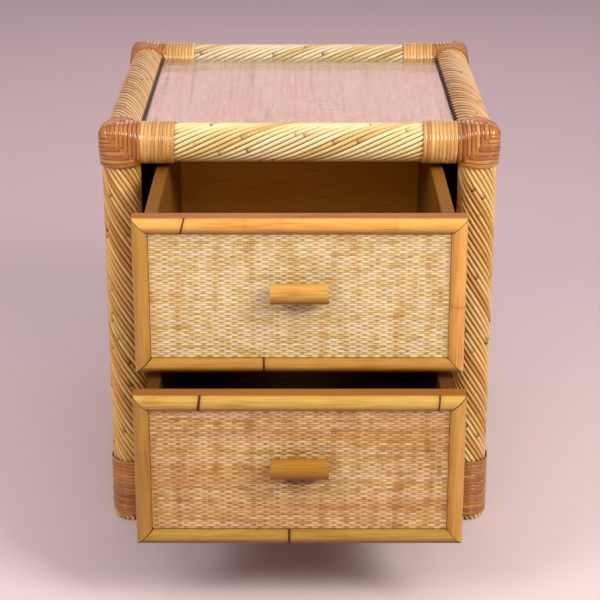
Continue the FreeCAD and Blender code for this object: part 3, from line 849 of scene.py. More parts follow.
class Former:
    """A Geometry Nodes tree that forms one kind of strand work from named sizes."""

    sizes: tuple[str, ...] = ()
    counts: tuple[str, ...] = ()

    def __init__(self, name: str) -> None:
        """Start the tree with its inputs, lay it out and close it with its finish.

        Args:
            name: the tree's name.
        """
        self.tree = bpy.data.node_groups.new(name, "GeometryNodeTree")
        self.tree.interface.new_socket("Geometry", in_out="OUTPUT", socket_type="NodeSocketGeometry")
        inputs = {size: "NodeSocketFloat" for size in self.sizes}
        inputs |= {count: "NodeSocketInt" for count in self.counts}
        for label, kind in {**inputs, "Finish": "NodeSocketMaterial"}.items():
            self.tree.interface.new_socket(label, in_out="INPUT", socket_type=kind)
        self.graph = Graph(self.tree)
        self.source = self.tree.nodes.new("NodeGroupInput")
        smooth = self.graph.node("GeometryNodeSetShadeSmooth", {"Geometry": self.lay_out()})
        real = self.graph.node("GeometryNodeRealizeInstances", {"Geometry": smooth})
        finish = self.size("Finish")
        dressed = self.graph.node("GeometryNodeSetMaterial", {"Geometry": real, "Material": finish})
        self.graph.node("NodeGroupOutput", {"Geometry": dressed})

    def lay_out(self) -> Wire:
        """Lay the tree out and give its geometry."""
        raise NotImplementedError

    def size(self, name: str) -> Wire:
        """Named input of the tree."""
        return Wire(self.graph, self.source.outputs[name])

    def strands(self, count: Wire, steps: Wire, seed: Wire) -> tuple[Wire, Wire, Wire, Wire]:
        """Equal straight strands with their own numbers.

        Args:
            count: how many strands.
            steps: points along each.
            seed: seed of their random tones.

        Returns:
            The curves, each strand's number, its tone and the share of its length.
        """
        graph = self.graph
        line = graph.node("GeometryNodeCurvePrimitiveLine")
        line = graph.node("GeometryNodeResampleCurve", {"Curve": line, "Count": steps})
        feeds = {"Geometry": line, "Amount": count}
        copies = graph.node("GeometryNodeDuplicateElements", feeds, domain="SPLINE")
        number = copies["Duplicate Index"]
        tone = graph.node("FunctionNodeRandomValue", {"ID": number, "Seed": seed})
        share = graph.node("GeometryNodeSplineParameter")["Factor"]
        curves = self.store(copies["Geometry"], "strand", number)
        return self.store(curves, "tone", tone), number, tone, share

    def store(self, geometry: Wire, name: str, value: Feed) -> Wire:
        """Geometry that carries a number under a name."""
        feeds = {"Geometry": geometry, "Name": name, "Value": value}
        return self.graph.node("GeometryNodeStoreNamedAttribute", feeds)

    def move(self, geometry: Wire, spot: Wire) -> Wire:
        """Geometry with its points at given places."""
        return self.graph.node("GeometryNodeSetPosition", {"Geometry": geometry, "Position": spot})

    def sweep(self, curves: Wire, level: Wire, upright: Wire, sides: Wire, scale: Feed = 1.0) -> Wire:
        """Closed strands with an oval section along curves.

        Args:
            curves: the paths.
            level: half size of the section in the XY plane.
            upright: half size of the section along Z.
            sides: points round the section.
            scale: share of the section's size along the path.

        Returns:
            The mesh.
        """
        graph = self.graph
        steady = graph.node("GeometryNodeSetCurveNormal", {"Curve": curves}, mode="Z_UP")
        circle = graph.node("GeometryNodeCurvePrimitiveCircle", {"Resolution": sides, "Radius": 1.0})
        stretch = graph.vector(level, upright, 1.0)
        oval = graph.node("GeometryNodeTransform", {"Geometry": circle, "Scale": stretch})
        oval = self.store(oval, "around", graph.node("GeometryNodeSplineParameter")["Factor"])
        feeds = {"Curve": steady, "Profile Curve": oval, "Scale": scale, "Fill Caps": True}
        return graph.node("GeometryNodeCurveToMesh", feeds)


class SpiralFormer(Former):
    """Strands wound side by side round the Z axis in a left-hand spiral."""

    sizes = ("Length", "Radius", "Turn", "Waver", "Knot Spacing", "Half Width", "Half Depth")
    counts = ("Strands", "Steps", "Sides", "Seed")
    wander = Drift((9.0, 4.7, 13.0), 1.0)
    swelling = Band(5.0 * MM, 0.5 * MM, 0.08)

    def lay_out(self) -> Wire:
        """Wind the strands, with a slight waver and a swelling at each knot.

        Returns:
            The mesh.
        """
        graph = self.graph
        length, radius, turn = self.size("Length"), self.size("Radius"), self.size("Turn")
        waver, count = self.size("Waver"), self.size("Strands")
        curves, number, tone, share = self.strands(count, self.size("Steps"), self.size("Seed"))
        drift = self.wander.over(share, number, tone) - 0.5
        angle = number * TURN / count - share * turn + drift * waver / radius
        reach = radius + drift * waver * 0.5
        aside, back = reach * graph.math("COSINE", angle), reach * graph.math("SINE", angle)
        curves = self.move(curves, graph.vector(aside, back, share * length))
        along = share * graph.math("SQRT", length * length + turn * radius * turn * radius)
        curves = self.store(curves, "along", along)
        past, _ = graph.knots(along, tone, self.size("Knot Spacing"))
        swelling = self.swelling.of(abs(past)) + 1.0
        depth, width, sides = self.size("Half Depth"), self.size("Half Width"), self.size("Sides")
        return self.sweep(curves, depth, width, sides, swelling)


class WeaveFormer(Former):
    """Plain weave in the XY plane: wefts along X pass over and under straight warps along Y."""

    sizes = ("Width", "Height", "Wave", "Slack",
             "Weft Half Width", "Weft Half Depth", "Warp Half Width", "Warp Half Depth")
    counts = ("Rows", "Columns", "Weft Steps", "Warp Steps", "Sides", "Seed")
    slip = Drift((0.3, 0.17, 2.0), 1.0)
    slip_share = 0.5
    sink = Drift((0.55, 0.8, 6.0), 1.0)
    sink_share, sink_least = 1.3, 0.1
    dip = Band(0.5, -0.8)
    weft_sway = Drift((14.0, 3.3, 11.0), 1.0)
    weft_body = Band(0.0, 0.08, 0.14)
    thin_weft, lift_weft = 0.66, 0.4
    warp_sway = Drift((6.0, 5.9, 11.0), 1.0)
    warp_seed = 7
    warp_level = -0.4
    # A low lift makes the finish paint the warps in its dip shade.
    warp_lift = 0.15

    def lay_out(self) -> Wire:
        """Lay the wefts in waves and the warps straight between them.

        Returns:
            The mesh.
        """
        graph = self.graph
        width, height, seed = self.size("Width"), self.size("Height"), self.size("Seed")
        rows, columns, sides = self.size("Rows"), self.size("Columns"), self.size("Sides")
        wave, slack = self.size("Wave"), self.size("Slack")
        weft, number, tone, share = self.strands(rows, self.size("Weft Steps"), seed)
        cell = share * columns
        slip = self.slip.over(cell, number, 1.0) - 0.5
        phase = (cell + number + slip * self.slip_share) * math.pi
        sink = self.sink.over(cell, number, 1.0) * self.sink_share + self.sink_least
        lift = 1 - self.dip.of(graph.math("SINE", phase)) * sink
        sway = (self.weft_sway.over(share, number, tone) - 0.5) * slack
        row = (number + 0.5) * height / rows - height * 0.5 + sway
        weft = self.move(weft, graph.vector((share - 0.5) * width, row, (lift * 2 - 1) * wave))
        # The lift also sets how much painted dip shade the finish lays on.
        weft = self.store(self.store(weft, "along", share * width), "lift", lift)
        body = self.weft_body.of(tone) + self.thin_weft + lift * self.lift_weft
        weft = self.sweep(weft, self.size("Weft Half Width"), self.size("Weft Half Depth"), sides, body)
        warp, number, tone, share = self.strands(columns, self.size("Warp Steps"), seed + self.warp_seed)
        sway = (self.warp_sway.over(share, number, tone) - 0.5) * slack
        column = (number + 0.5) * width / columns - width * 0.5 + sway
        warp = self.move(warp, graph.vector(column, (share - 0.5) * height, wave * self.warp_level))
        warp = self.store(self.store(warp, "along", share * height), "lift", self.warp_lift)
        warp = self.sweep(warp, self.size("Warp Half Width"), self.size("Warp Half Depth"), sides)
        return graph.node("GeometryNodeJoinGeometry", {"Geometry": [weft, warp]})


def form(former: Former, sizes: dict[str, float], finish: Finish) -> bpy.types.Mesh:
    """Run a former once.

    Args:
        former: the tree to run.
        sizes: a value for each of its named inputs.
        finish: what the result is dressed with.

    Returns:
        A plain mesh.
    """
    holder = bpy.data.objects.new("former", bpy.data.meshes.new("blank"))
    bpy.context.scene.collection.objects.link(holder)
    modifier = holder.modifiers.new("former", "NODES")
    modifier.node_group = former.tree
    given = {**sizes, "Finish": finish.material()}
    for item in former.tree.interface.items_tree:
        if item.in_out == "INPUT":
            modifier[item.identifier] = given[item.name]
    depsgraph = bpy.context.evaluated_depsgraph_get()
    shown = holder.evaluated_get(depsgraph)
    mesh = bpy.data.meshes.new_from_object(shown, preserve_all_data_layers=True, depsgraph=depsgraph)
    holder.modifiers.remove(modifier)
    bpy.data.objects.remove(holder)
    put_on(mesh, finish)
    return mesh


@dataclass(frozen=True)
class PoleRun:
    """Straight stretch of pole, read from the box of a node."""

    start: Vector
    length: float
    radius: float
    axis: Axis

    @classmethod
    def of(cls, node: str, axis: Axis) -> "PoleRun":
        """Read a stretch from the frame.

        Args:
            node: a node that lies round the whole stretch.
            axis: the way that it runs.

        Returns:
            The stretch.
        """
        low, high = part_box(node)
        start = (low + high) / 2
        start[axis.value] = low[axis.value]
        span = high - low
        return cls(start, span[axis.value], span[(axis.value + 1) % 3] / 2, axis)

    def place(self, mesh: bpy.types.Mesh, lift: float) -> bpy.types.Mesh:
        """Lay a mesh made along +Z on the stretch.

        Args:
            mesh: the mesh, which is moved.
            lift: how far past the start of the stretch it begins.

        Returns:
            The same mesh.
        """
        mesh.transform(Matrix.Translation((0.0, 0.0, lift)))
        mesh.transform(Matrix.Translation(self.start) @ self.axis.turn())
        return mesh


@dataclass
class ReedLay:
    """Pencil reeds laid side by side in a spiral round a pole."""

    spirals: SpiralFormer
    count: int = 21
    depth: float = 5.7 * MM
    gap: float = 0.12 * MM
    floor_gap: float = 1.6 * MM
    tuck: float = 1.0 * MM
    waver: float = 0.55 * MM
    step: float = 6.5 * MM
    sides: int = 9

    def build(self, node: str, axis: Axis, lay_angle: float, finish: ReedFinish, seed: int) -> None:
        """Lay the reeds of one pole.

        Args:
            node: the plain sleeve that they stand for.
            axis: the way that the pole runs.
            lay_angle: angle of the reeds to the pole at its surface, in degrees.
            finish: what they are dressed with.
            seed: seed of their tones.
        """
        run = PoleRun.of(node, axis)
        middle = run.radius - self.depth / 2
        slope = math.tan(math.radians(lay_angle))
        lean = math.atan(slope * middle / run.radius)
        pitch = TURN * middle / self.count * math.cos(lean)
        lift = self.floor_gap if axis is Axis.Z else -self.tuck
        length = run.length - lift + self.tuck
        sizes = {
            "Length": length, "Radius": middle, "Turn": length * slope / run.radius,
            "Waver": self.waver, "Knot Spacing": finish.knot_spacing, "Strands": self.count,
            "Steps": math.ceil(length / math.cos(lean) / self.step), "Seed": seed,
            "Half Width": pitch / 2 - self.gap, "Half Depth": self.depth / 2, "Sides": self.sides,
        }
        mesh = run.place(form(self.spirals, sizes, finish), lift)
        add_piece(f"{node}_laid", mesh, Body.CASE, node)


@dataclass
class Winding:
    """One peel strip wound closely round a wrapped pole, with no knots."""

    spirals: SpiralFormer
    width: float = 4.45 * MM
    depth: float = 1.7 * MM
    pitch: float = 4.5 * MM
    waver: float = 0.5 * MM
    knot_spacing: float = 10.0
    steps_per_turn: int = 30
    sides: int = 10

    def wind(self, run: PoleRun, finish: PeelFinish, seed: int) -> bpy.types.Mesh:
        """Wind one stretch from end to end.

        Args:
            run: the stretch, with the winding's outer radius.
            finish: what the strip is dressed with.
            seed: seed of its tone.

        Returns:
            The mesh, in place.
        """
        rise = run.length - self.width
        turns = round(rise / self.pitch)
        sizes = {
            "Length": rise, "Radius": run.radius - self.depth / 2, "Turn": turns * TURN,
            "Waver": self.waver, "Knot Spacing": self.knot_spacing, "Strands": 1,
            "Steps": turns * self.steps_per_turn, "Seed": seed,
            "Half Width": self.width / 2, "Half Depth": self.depth / 2, "Sides": self.sides,
        }
        return run.place(form(self.spirals, sizes, finish), self.width / 2)


@dataclass
class BoundCorner:
    """Bound block over a top joint: peel strips cross each outer edge and meet in stepped mitres.

    Places inside the block are counted from its middle, outwards along X, outwards along Y and up.
    """

    half: float
    seed: int
    edge_radius: float = 13.0 * MM
    roundness: float = 1.3
    strips: int = 10
    bare: int = 2
    lane: float = 20.0
    thickness: float = 1.1 * MM
    tuck: float = 1.3 * MM
    step: float = 1.6 * MM
    least_steps: int = 8
    end_taper: float = 3.0 * MM
    end_dives: tuple[float, float] = (0.55, 0.9)
    core_points: int = 15
    core_depth: float = 0.9
    weld: float = 0.02 * MM
    section: tuple[tuple[float, float], ...] = (
        (-0.5, 0.42), (-0.36, 0.88), (0.0, 1.0), (0.36, 0.88), (0.5, 0.42), (0.0, -0.5))

    @staticmethod
    def others(level: int) -> list[int]:
        """Axes beside one axis."""
        return [axis for axis in range(3) if axis != level]

    def fold(self, points: np.ndarray, level: int) -> tuple[np.ndarray, np.ndarray]:
        """Lay points of a sharp cube on the rounded block.

        Args:
            points: places on the faces of the sharp cube, with shape (count, 3).
            level: the axis that the strip is wound round.

        Returns:
            The places on the block and the directions out of it.
        """
        half = self.half
        round_share = np.clip(-points[:, level] / half, 0, 1) ** self.roundness
        radius = self.edge_radius + (half - self.edge_radius) * round_share
        limit = np.repeat((half - radius)[:, None], 3, axis=1)
        limit[:, level] = half - self.edge_radius
        inner = np.minimum(points, limit)
        spare = points - inner
        outward = spare / np.linalg.norm(spare, axis=1, keepdims=True)
        places = inner + outward * radius[:, None]
        first, second = self.others(level)
        for along, across in ((first, second), (second, first)):
            inward = np.minimum(points[:, along], 0)
            sag = half - np.sqrt(np.maximum(half ** 2 - inward ** 2, 0))
            places[:, across] -= round_share * sag * (outward[:, across] > 0.5)
        return places, outward

    def strip(self, level: int, number: int, tone: float) -> bpy.types.Mesh:
        """One strip over an edge of the block.

        Args:
            level: the axis that the strip is wound round.
            number: its place from the outer corner.
            tone: its random tone.

        Returns:
            The mesh.
        """
        pitch = 2 * self.half / self.strips
        middle = self.half - (number + 0.5) * pitch
        mitre = (2 * (number // 2) + 1.0) * pitch if number < self.strips - 1 else 2 * self.half
        reach = min(mitre + self.tuck, 2 * self.half)
        first, second = self.others(level)
        way = np.linspace(-reach, reach, max(self.least_steps, math.ceil(2 * reach / self.step)))
        side, height = np.array(self.section).T
        spots = np.empty((len(way), len(side), 3))
        spots[..., first] = np.minimum(self.half, self.half + way)[:, None]
        spots[..., second] = np.minimum(self.half, self.half - way)[:, None]
        spots[..., level] = middle + side[None, :] * pitch
        places, outward = self.fold(np.minimum(spots, self.half).reshape(-1, 3), level)
        ends = np.clip((np.abs(way) - reach) / self.end_taper + 1, 0, 1) ** 2
        dive = ends * self.end_dives[number % 2] * self.thickness
        lift = ((height[None, :] - 1) * self.thickness - dive[:, None]).reshape(-1, 1)
        rings = (places + outward * lift).reshape(len(way), len(side), 3)
        shape = rings.shape[:2]
        numbers = {
            "tone": np.full(shape, tone), "strand": np.full(shape, number + self.lane * level),
            "along": np.repeat(way[:, None] + reach, len(side), axis=1),
            "around": np.repeat(0.5 + side[None, :] * 0.5, len(way), axis=0),
        }
        return mesh_from_grid(rings, numbers, CORNER_PEEL)

    def core(self) -> bpy.types.Mesh:
        """Form the block under the strips, closed towards the poles.

        Returns:
            The mesh.
        """
        count = self.core_points
        spread = np.linspace(-self.half, self.half, count)
        across, down = [grid.ravel() for grid in np.meshgrid(spread, spread, indexing="ij")]
        block = bmesh.new()
        for out in range(3):
            first, second = self.others(out)
            points = np.full((len(across), 3), self.half)
            points[:, first], points[:, second] = across, down
            by_first, out_first = self.fold(points, first)
            by_second, out_second = self.fold(points, second)
            lower = (points[:, first] < points[:, second])[:, None]
            places = np.where(lower, by_first, by_second)
            places -= np.where(lower, out_first, out_second) * self.thickness * self.core_depth
            verts = [block.verts.new(place) for place in places]
            for at in range(count * (count - 1)):
                if (at + 1) % count:
                    corners = (at, at + 1, at + count + 1, at + count)
                    block.faces.new([verts[corner] for corner in corners])
        bmesh.ops.remove_doubles(block, verts=block.verts, dist=self.weld)
        rim = [edge for edge in block.edges if edge.is_boundary]
        bmesh.ops.holes_fill(block, edges=rim)
        mesh = bpy.data.meshes.new("block")
        block.to_mesh(mesh)
        block.free()
        # An around of 0.5 keeps the painted gap shade off the block.
        carry(mesh, "around", np.full(len(mesh.vertices), 0.5))
        put_on(mesh, CORNER_PEEL)
        return mesh

    def build(self, middle: Vector, out_x: float, out_y: float) -> bpy.types.Mesh:
        """Bind one corner.

        Args:
            middle: middle of the block.
            out_x: -1 at the left, 1 at the right.
            out_y: -1 at the front, 1 at the rear.

        Returns:
            The mesh, in place.
        """
        draw = np.random.default_rng(self.seed)
        meshes = [self.core()]
        for level in range(3):
            for number in range(self.strips):
                tone = draw.random()
                if number >= self.bare:
                    meshes.append(self.strip(level, number, tone))
        mesh = join_meshes(meshes)
        mesh.transform(Matrix.Translation(middle) @ Matrix.Diagonal((out_x, out_y, 1.0, 1.0)))
        face_outwards(mesh)
        return mesh


@dataclass
class WovenMat:
    """Mat of woven split reed."""

    weaves: WeaveFormer
    points: int = 3
    sides: int = 4
    weft_pitch: float = 2.65 * MM
    weft_share: float = 0.53
    weft_depth: float = 0.5 * MM
    warp_pitch: float = WARP_PITCH
    warp_depth: float = 0.5 * MM
    warp_width: float = 1.5 * MM
    warp_points: int = 12
    wave: float = 0.42 * MM
    slack: float = 0.5 * MM
    rim_share: float = 0.02

    def build(self, node: str, out: Axis, sign: int, body: Body, finish: WeaveFinish, seed: int) -> None:
        """Weave the mat of one face.

        Args:
            node: the plain mat that it stands for.
            out: axis that the mat faces along.
            sign: 1 if it faces along the axis, -1 against it.
            body: the body that it moves with.
            finish: what it is dressed with.
            seed: seed of its tones.
        """
        low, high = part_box(node)
        across, up = {Axis.X: (1, 2), Axis.Y: (0, 2), Axis.Z: (1, 0)}[out]
        span = high - low
        rows, columns = round(span[up] / self.weft_pitch), round(span[across] / self.warp_pitch)
        sizes = {
            "Width": span[across], "Height": span[up] - self.weft_pitch * self.rim_share, "Seed": seed,
            "Rows": rows, "Columns": columns, "Wave": self.wave, "Slack": self.slack,
            "Weft Steps": self.points * columns + 1, "Warp Steps": self.warp_points, "Sides": self.sides,
            "Weft Half Depth": self.weft_depth / 2, "Weft Half Width": self.weft_pitch * self.weft_share,
            "Warp Half Depth": self.warp_depth / 2, "Warp Half Width": self.warp_width / 2,
        }
        mesh = form(self.weaves, sizes, finish)
        outward = Vector((0.0, 0.0, 0.0))
        outward[out.value] = sign
        weft = Vector((0.0, 1.0, 0.0)) if out is Axis.Z else Vector((0.0, 0.0, 1.0)).cross(outward)
        turn = Matrix((weft, outward.cross(weft), outward)).transposed()
        mesh.transform(Matrix.Translation((low + high) / 2) @ turn.to_4x4())
        add_piece(f"{node}_woven", mesh, body, node)


@dataclass(frozen=True)
class CaneNode:
    """Node of a split cane: its place from the start, its strength, its slant and the width of its ring."""

    place: float
    strength: float = 1.0
    slant: float = 0.0
    width: float = 1.2 * MM


@dataclass(frozen=True)
class TrimEdge:
    """One side of a trim: how far its cane has darkened, its nodes and how far its end mitre gapes."""

    age: float
    nodes: tuple[CaneNode, ...] = ()
    end_gap: float = 0.0


@dataclass
class CaneTrim:
    """Four mitred lengths of split cane round a drawer front.

    A node's profile says for each section which end of the ring it is counted from, how far from
    there it is, how much of it is ring and how much is halo. The painted low shadows say how dark
    a painted shadow makes the lower edge of a length, above 0 where that is the outer edge and below 0
    where it is the inner one.
    """

    edges: dict[str, TrimEdge]
    level_finish: CaneFinish
    arc_steps: int = 14
    plain_step: float = 12.0 * MM
    plain_end: float = 2.1
    least_gap: float = 0.4 * MM
    swelling: float = 0.045
    ring_groove: float = 1.3
    flat: float = 0.985
    mitre_gap: float = 0.18 * MM
    mitre_mark: float = 0.85
    mark_width: float = 0.7 * MM
    painted_low_shadows: tuple[float, ...] = (-0.7, 0.0, 1.6, 0.0)
    low_shadow_least: float = 0.12
    node_profile: tuple[tuple[int, float, float, float], ...] = (
        (-1, -6.4 * MM, 0.0, 0.0), (-1, -2.4 * MM, 0.0, 0.35), (-1, -0.8 * MM, 0.0, 0.9), (-1, 0.0, 1.0, 1.0),
        (1, 0.0, 1.0, 1.0), (1, 0.8 * MM, 0.0, 0.7), (1, 4.4 * MM, 0.0, 0.0))

    def sections(self, span: float, radius: float, edge: TrimEdge) -> dict[float, tuple[float, float, float]]:
        """Find where a length needs sections.

        Args:
            span: its length along the outer edge.
            radius: radius of its half-round section.
            edge: its nodes.

        Returns:
            The ring, halo and slant of each section by its place.
        """
        marked, plain = (self.mitre_mark, 0.0, 0.0), (0.0, 0.0, 0.0)
        found = {0.0: marked, self.mark_width: plain, span - self.mark_width: plain, span: marked}
        bare = self.plain_end * radius
        found |= {float(place): plain for place in np.arange(bare, span - bare, self.plain_step)}
        for node in edge.nodes:
            found = {at: what for at, what in found.items() if abs(at - node.place) > node.width / 2}
            for end, shift, ring, halo in self.node_profile:
                place = node.place + end * node.width / 2 + shift
                found = {at: what for at, what in found.items() if abs(at - place) > self.least_gap}
                found[place] = (ring * node.strength, halo * node.strength, node.slant)
        return dict(sorted(found.items()))

    def length(self, span: float, radius: float, edge: TrimEdge, low_side: float,
               finish: CaneFinish) -> bpy.types.Mesh:
        """One length along +X, mitred at both ends, flat on the XZ plane and outer edge up.

        Args:
            span: its length along the outer edge.
            radius: radius of its half-round section.
            edge: its age and its nodes.
            low_side: how strong the painted shadow on its lower edge is.
            finish: what it is dressed with.

        Returns:
            The mesh.
        """
        angle = np.linspace(0.0, math.pi, self.arc_steps)
        up, out = np.cos(angle) * radius, np.sin(angle) * radius
        down = radius - up
        places = []
        sections = self.sections(span, radius, edge)
        for place, (ring, halo, slant) in sections.items():
            grow = 1 + self.swelling * (halo - self.ring_groove * ring) if halo else 1.0
            along = place + slant * up
            if place <= self.mark_width:
                along = place + down + self.mitre_gap
            if place >= span - self.mark_width:
                along = place - down - self.mitre_gap - edge.end_gap
            places.append(np.stack([along, -out * grow * self.flat, up * min(grow, 1.0)], axis=-1))
        rings, halos, _ = np.repeat(np.array(list(sections.values())).T[..., None], self.arc_steps, axis=2)
        # Painted shadow strength, rising towards the lower edge.
        shadow = np.clip(up / radius * low_side + self.low_shadow_least, 0, 1)
        numbers = {"ring": rings, "halo": halos, "age": np.full_like(rings, edge.age)}
        numbers["low_side"] = np.repeat(shadow[None, :], len(places), axis=0)
        return mesh_from_grid(np.array(places), numbers, finish)

    def build(self, node: str, body: Body) -> None:
        """Trim one drawer front.

        Args:
            node: the plain trim that it stands for.
            body: the drawer that it moves with.
        """
        low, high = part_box(node)
        radius = high.y - low.y
        middle = Vector(((low.x + high.x) / 2, high.y, (low.z + high.z) / 2))
        wide, tall = high.x - low.x, high.z - low.z
        meshes = []
        for turn, edge in enumerate(("top", "left", "bottom", "right")):
            level = turn % 2 == 0
            span, reach = (wide, tall) if level else (tall, wide)
            finish = self.level_finish if level else CANE_Z
            mesh = self.length(span, radius, self.edges[edge], self.painted_low_shadows[turn], finish)
            start = Matrix.Translation((-span / 2, 0.0, reach / 2 - radius))
            mesh.transform(Matrix.Translation(middle) @ Matrix.Rotation(-turn * math.pi / 2, 4, "Y") @ start)
            meshes.append(mesh)
        mesh = join_meshes(meshes)
        face_outwards(mesh)
        add_piece(f"{node}_cane", mesh, body, node)


@dataclass
class EasedCopy:
    """Copy of a plain piece with its sharp edges eased and a painted shadow strength on its undersides."""

    width: float = 0.7 * MM
    segments: int = 2
    weld: float = 0.01 * MM
    flat_angle: float = math.radians(1)
    smooth_angle: float = math.radians(40)
    low_shadow_middle: float = 0.25
    low_shadow_rate: float = -1.25

    def build(self, node: str, body: Body, slot: str, finish: Finish) -> None:
        """Ease and dress one piece.

        Args:
            node: the plain piece that the copy stands for.
            body: the body that it moves with.
            slot: not used.
            finish: what it is dressed with.
        """
        copy = bmesh.new()
        copy.from_mesh(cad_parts[node].data)
        bmesh.ops.remove_doubles(copy, verts=copy.verts, dist=self.weld)
        bmesh.ops.dissolve_limit(copy, angle_limit=self.flat_angle, verts=copy.verts, edges=copy.edges)
        joints = [edge for edge in copy.edges if edge.is_manifold]
        sharp = [edge for edge in joints if edge.calc_face_angle() > self.smooth_angle]
        bmesh.ops.bevel(copy, geom=sharp, offset=self.width, segments=self.segments, affect="EDGES",
                        clamp_overlap=True)
        mesh = bpy.data.meshes.new(node)
        copy.to_mesh(mesh)
        copy.free()
        mesh.shade_smooth()
        mesh.set_sharp_from_angle(angle=self.smooth_angle)
        slope = np.array([vertex.normal.z for vertex in mesh.vertices])
        # Painted shadow strength, stronger the more a face turns down.
        carry(mesh, "low_side", np.clip(self.low_shadow_middle + self.low_shadow_rate * slope, 0, 1))
        put_on(mesh, finish)
        add_piece(f"{node}_eased", mesh, body, node)


def dress(node: str, finish: Finish) -> None:
    """Give a piece of the frame its finish."""
    put_on(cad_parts[node].data, finish)
    log.info("%s dressed with %s", node, finish.name)


@dataclass
class CaseFrame:
    """Wrapped poles of the case with their bound corners and feet."""

    spirals: SpiralFormer
    post_angle: float = 35.0
    rail_angle: float = 27.5
    tuck: float = 3.0 * MM
    sink: float = 0.1 * MM
    foot_width: float = 5.3 * MM

    def build(self) -> None:
        """Lay the reeds, bind the feet and corners, and dress the poles, with one seed after the other."""
        reeds, winding = ReedLay(self.spirals), Winding(self.spirals)
        feet = Winding(self.spirals, self.foot_width)
        seed = 1
        for end_y, out_y, finish in (("front", -1.0, RAIL_REED), ("rear", 1.0, SHADED_REAR_REED)):
            reeds.build(f"top_rail_reeds_{end_y}", Axis.X, self.rail_angle, finish, seed)
            dress(f"top_rail_core_{end_y}", POLE_WOOD[Axis.X])
            dress(f"lower_rail_{end_y}", LOWER_POLE[Axis.X])
            for end_x, out_x in (("left", -1.0), ("right", 1.0)):
                corner = f"{end_y}_{end_x}"
                seed += 1
                reeds.build(f"post_reeds_{corner}", Axis.Z, self.post_angle, POST_REED, seed)
                dress(f"post_core_{corner}", POLE_WOOD[Axis.Z])
                foot = f"foot_binding_{corner}"
                strip = feet.wind(PoleRun.of(foot, Axis.Z), FOOT_PEEL, seed)
                add_piece(f"{foot}_wound", strip, Body.CASE, foot)
                self.bind_corner(f"corner_binding_{corner}", out_x, out_y, winding, seed)
        for end_x in ("left", "right"):
            seed += 1
            reeds.build(f"top_rail_reeds_{end_x}", Axis.Y, self.rail_angle, SIDE_REED, seed)
            dress(f"top_rail_core_{end_x}", POLE_WOOD[Axis.Y])
            dress(f"lower_rail_{end_x}", LOWER_POLE[Axis.Y])
        dress("rail_dowels", POLE_WOOD[Axis.X])

    def bind_corner(self, node: str, out_x: float, out_y: float, winding: Winding, seed: int) -> None:
        """Bind a corner and the rail beside it.

        Args:
            node: the plain binding that it stands for.
            out_x: -1 at the left, 1 at the right.
            out_y: -1 at the front, 1 at the rear.
            winding: the strip along the rail.
            seed: seed of the tones.
        """
        low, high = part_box(node)
        half = (high.z - low.z) / 2
        middle = (low + high) / 2
        outer, far = (high.x, low.x) if out_x > 0 else (low.x, high.x)
        middle.x = outer - out_x * half
        block = BoundCorner(half, seed).build(middle, out_x, out_y)
        inner = outer - out_x * 2 * half + out_x * self.tuck
        start = Vector((min(inner, far), middle.y, middle.z))
        strip = winding.wind(PoleRun(start, abs(far - inner), half - self.sink, Axis.X), RAIL_PEEL, seed)
        add_piece(f"{node}_block", block, Body.CASE, node)
        add_piece(f"{node}_wound", strip, Body.CASE, node)


@dataclass
class CaseBody:
    """Panels, runners, woven sides and the glass top."""

    mats: WovenMat
    side_seed: int = 40
    top_seed: int = 43
    glass_edge: float = 0.9 * MM
    glass_segments: int = 3

    def build(self) -> None:
        """Weave the mats, ease the boards and dress what stays hidden."""
        eased = EasedCopy()
        for end, sign in (("left", -1), ("right", 1)):
            self.mats.build(f"side_mat_{end}", Axis.X, sign, Body.CASE, UPPER_WEAVE, self.side_seed + sign)
            dress(f"side_panel_{end}", CASE_WOOD[Axis.Z])
        self.mats.build("top_mat", Axis.Z, 1, Body.CASE, TOP_WEAVE, self.top_seed)
        for node, axis in (("back_panel", Axis.Z), ("base_panel", Axis.Y), ("drawer_runners", Axis.Y)):
            eased.build(node, Body.CASE, "board", CASE_WOOD[axis])
        for node in ("top_panel", "top_cleats"):
            dress(node, CASE_WOOD[Axis.X])
        EasedCopy(self.glass_edge, self.glass_segments).build("glass_top", Body.CASE, "glass", GLASS)


@dataclass(frozen=True)
class DrawerDress:
    """Finishes of one drawer."""

    weave: WeaveFinish
    pull: CaneFinish
    cane: CaneFinish
    board: BoardFinish
    side: BoardFinish
    inside: BoardFinish


@dataclass
class Drawer:
    """Drawer with a woven front, cane trim and a cane pull."""

    name: str
    body: Body
    mats: WovenMat
    finishes: DrawerDress
    edges: dict[str, TrimEdge]
    seed: int
    pull_edge: float = 1.1 * MM
    pull_segments: int = 3

    def build(self) -> None:
        """Weave and trim the front, ease the box and dress the fixings."""
        eased, finishes = EasedCopy(), self.finishes
        self.mats.build(f"{self.name}_front_mat", Axis.Y, -1, self.body, finishes.weave, self.seed)
        CaneTrim(self.edges, finishes.cane).build(f"{self.name}_front_trim", self.body)
        pull = EasedCopy(self.pull_edge, self.pull_segments)
        pull.build(f"{self.name}_pull", self.body, "cane", finishes.pull)
        boards = {"front_board": finishes.board, "side_left": finishes.side,
                  "side_right": finishes.side, "back": finishes.inside}
        for part, finish in boards.items():
            eased.build(f"{self.name}_{part}", self.body, "board", finish)
        dress(f"{self.name}_bottom", finishes.inside)
        dress(f"{self.name}_pull_block", finishes.board)
        dress(f"{self.name}_pull_screws", STEEL)


@dataclass(frozen=True)
class SoftLight:
    """Soft light: where it hangs, its width and height, its power in watts and its colour."""

    name: str
    place: tuple[float, float, float]
    span: tuple[float, float]
    power: float
    shade: str = "FFF6EC"

    def hang(self, aim: Vector) -> None:
        """Hang the light so that it points at a place.

        Args:
            aim: the place.
        """
        lamp = bpy.data.lights.new(self.name, "AREA")
        lamp.shape = "RECTANGLE"
        lamp.size, lamp.size_y = self.span
        lamp.energy, lamp.color = self.power, colour(self.shade)[:3]
        light = bpy.data.objects.new(self.name, lamp)
        light.location = self.place
        light.rotation_euler = (Vector(self.place) - aim).to_track_quat("Z", "Y").to_euler()
        bpy.context.scene.collection.objects.link(light)


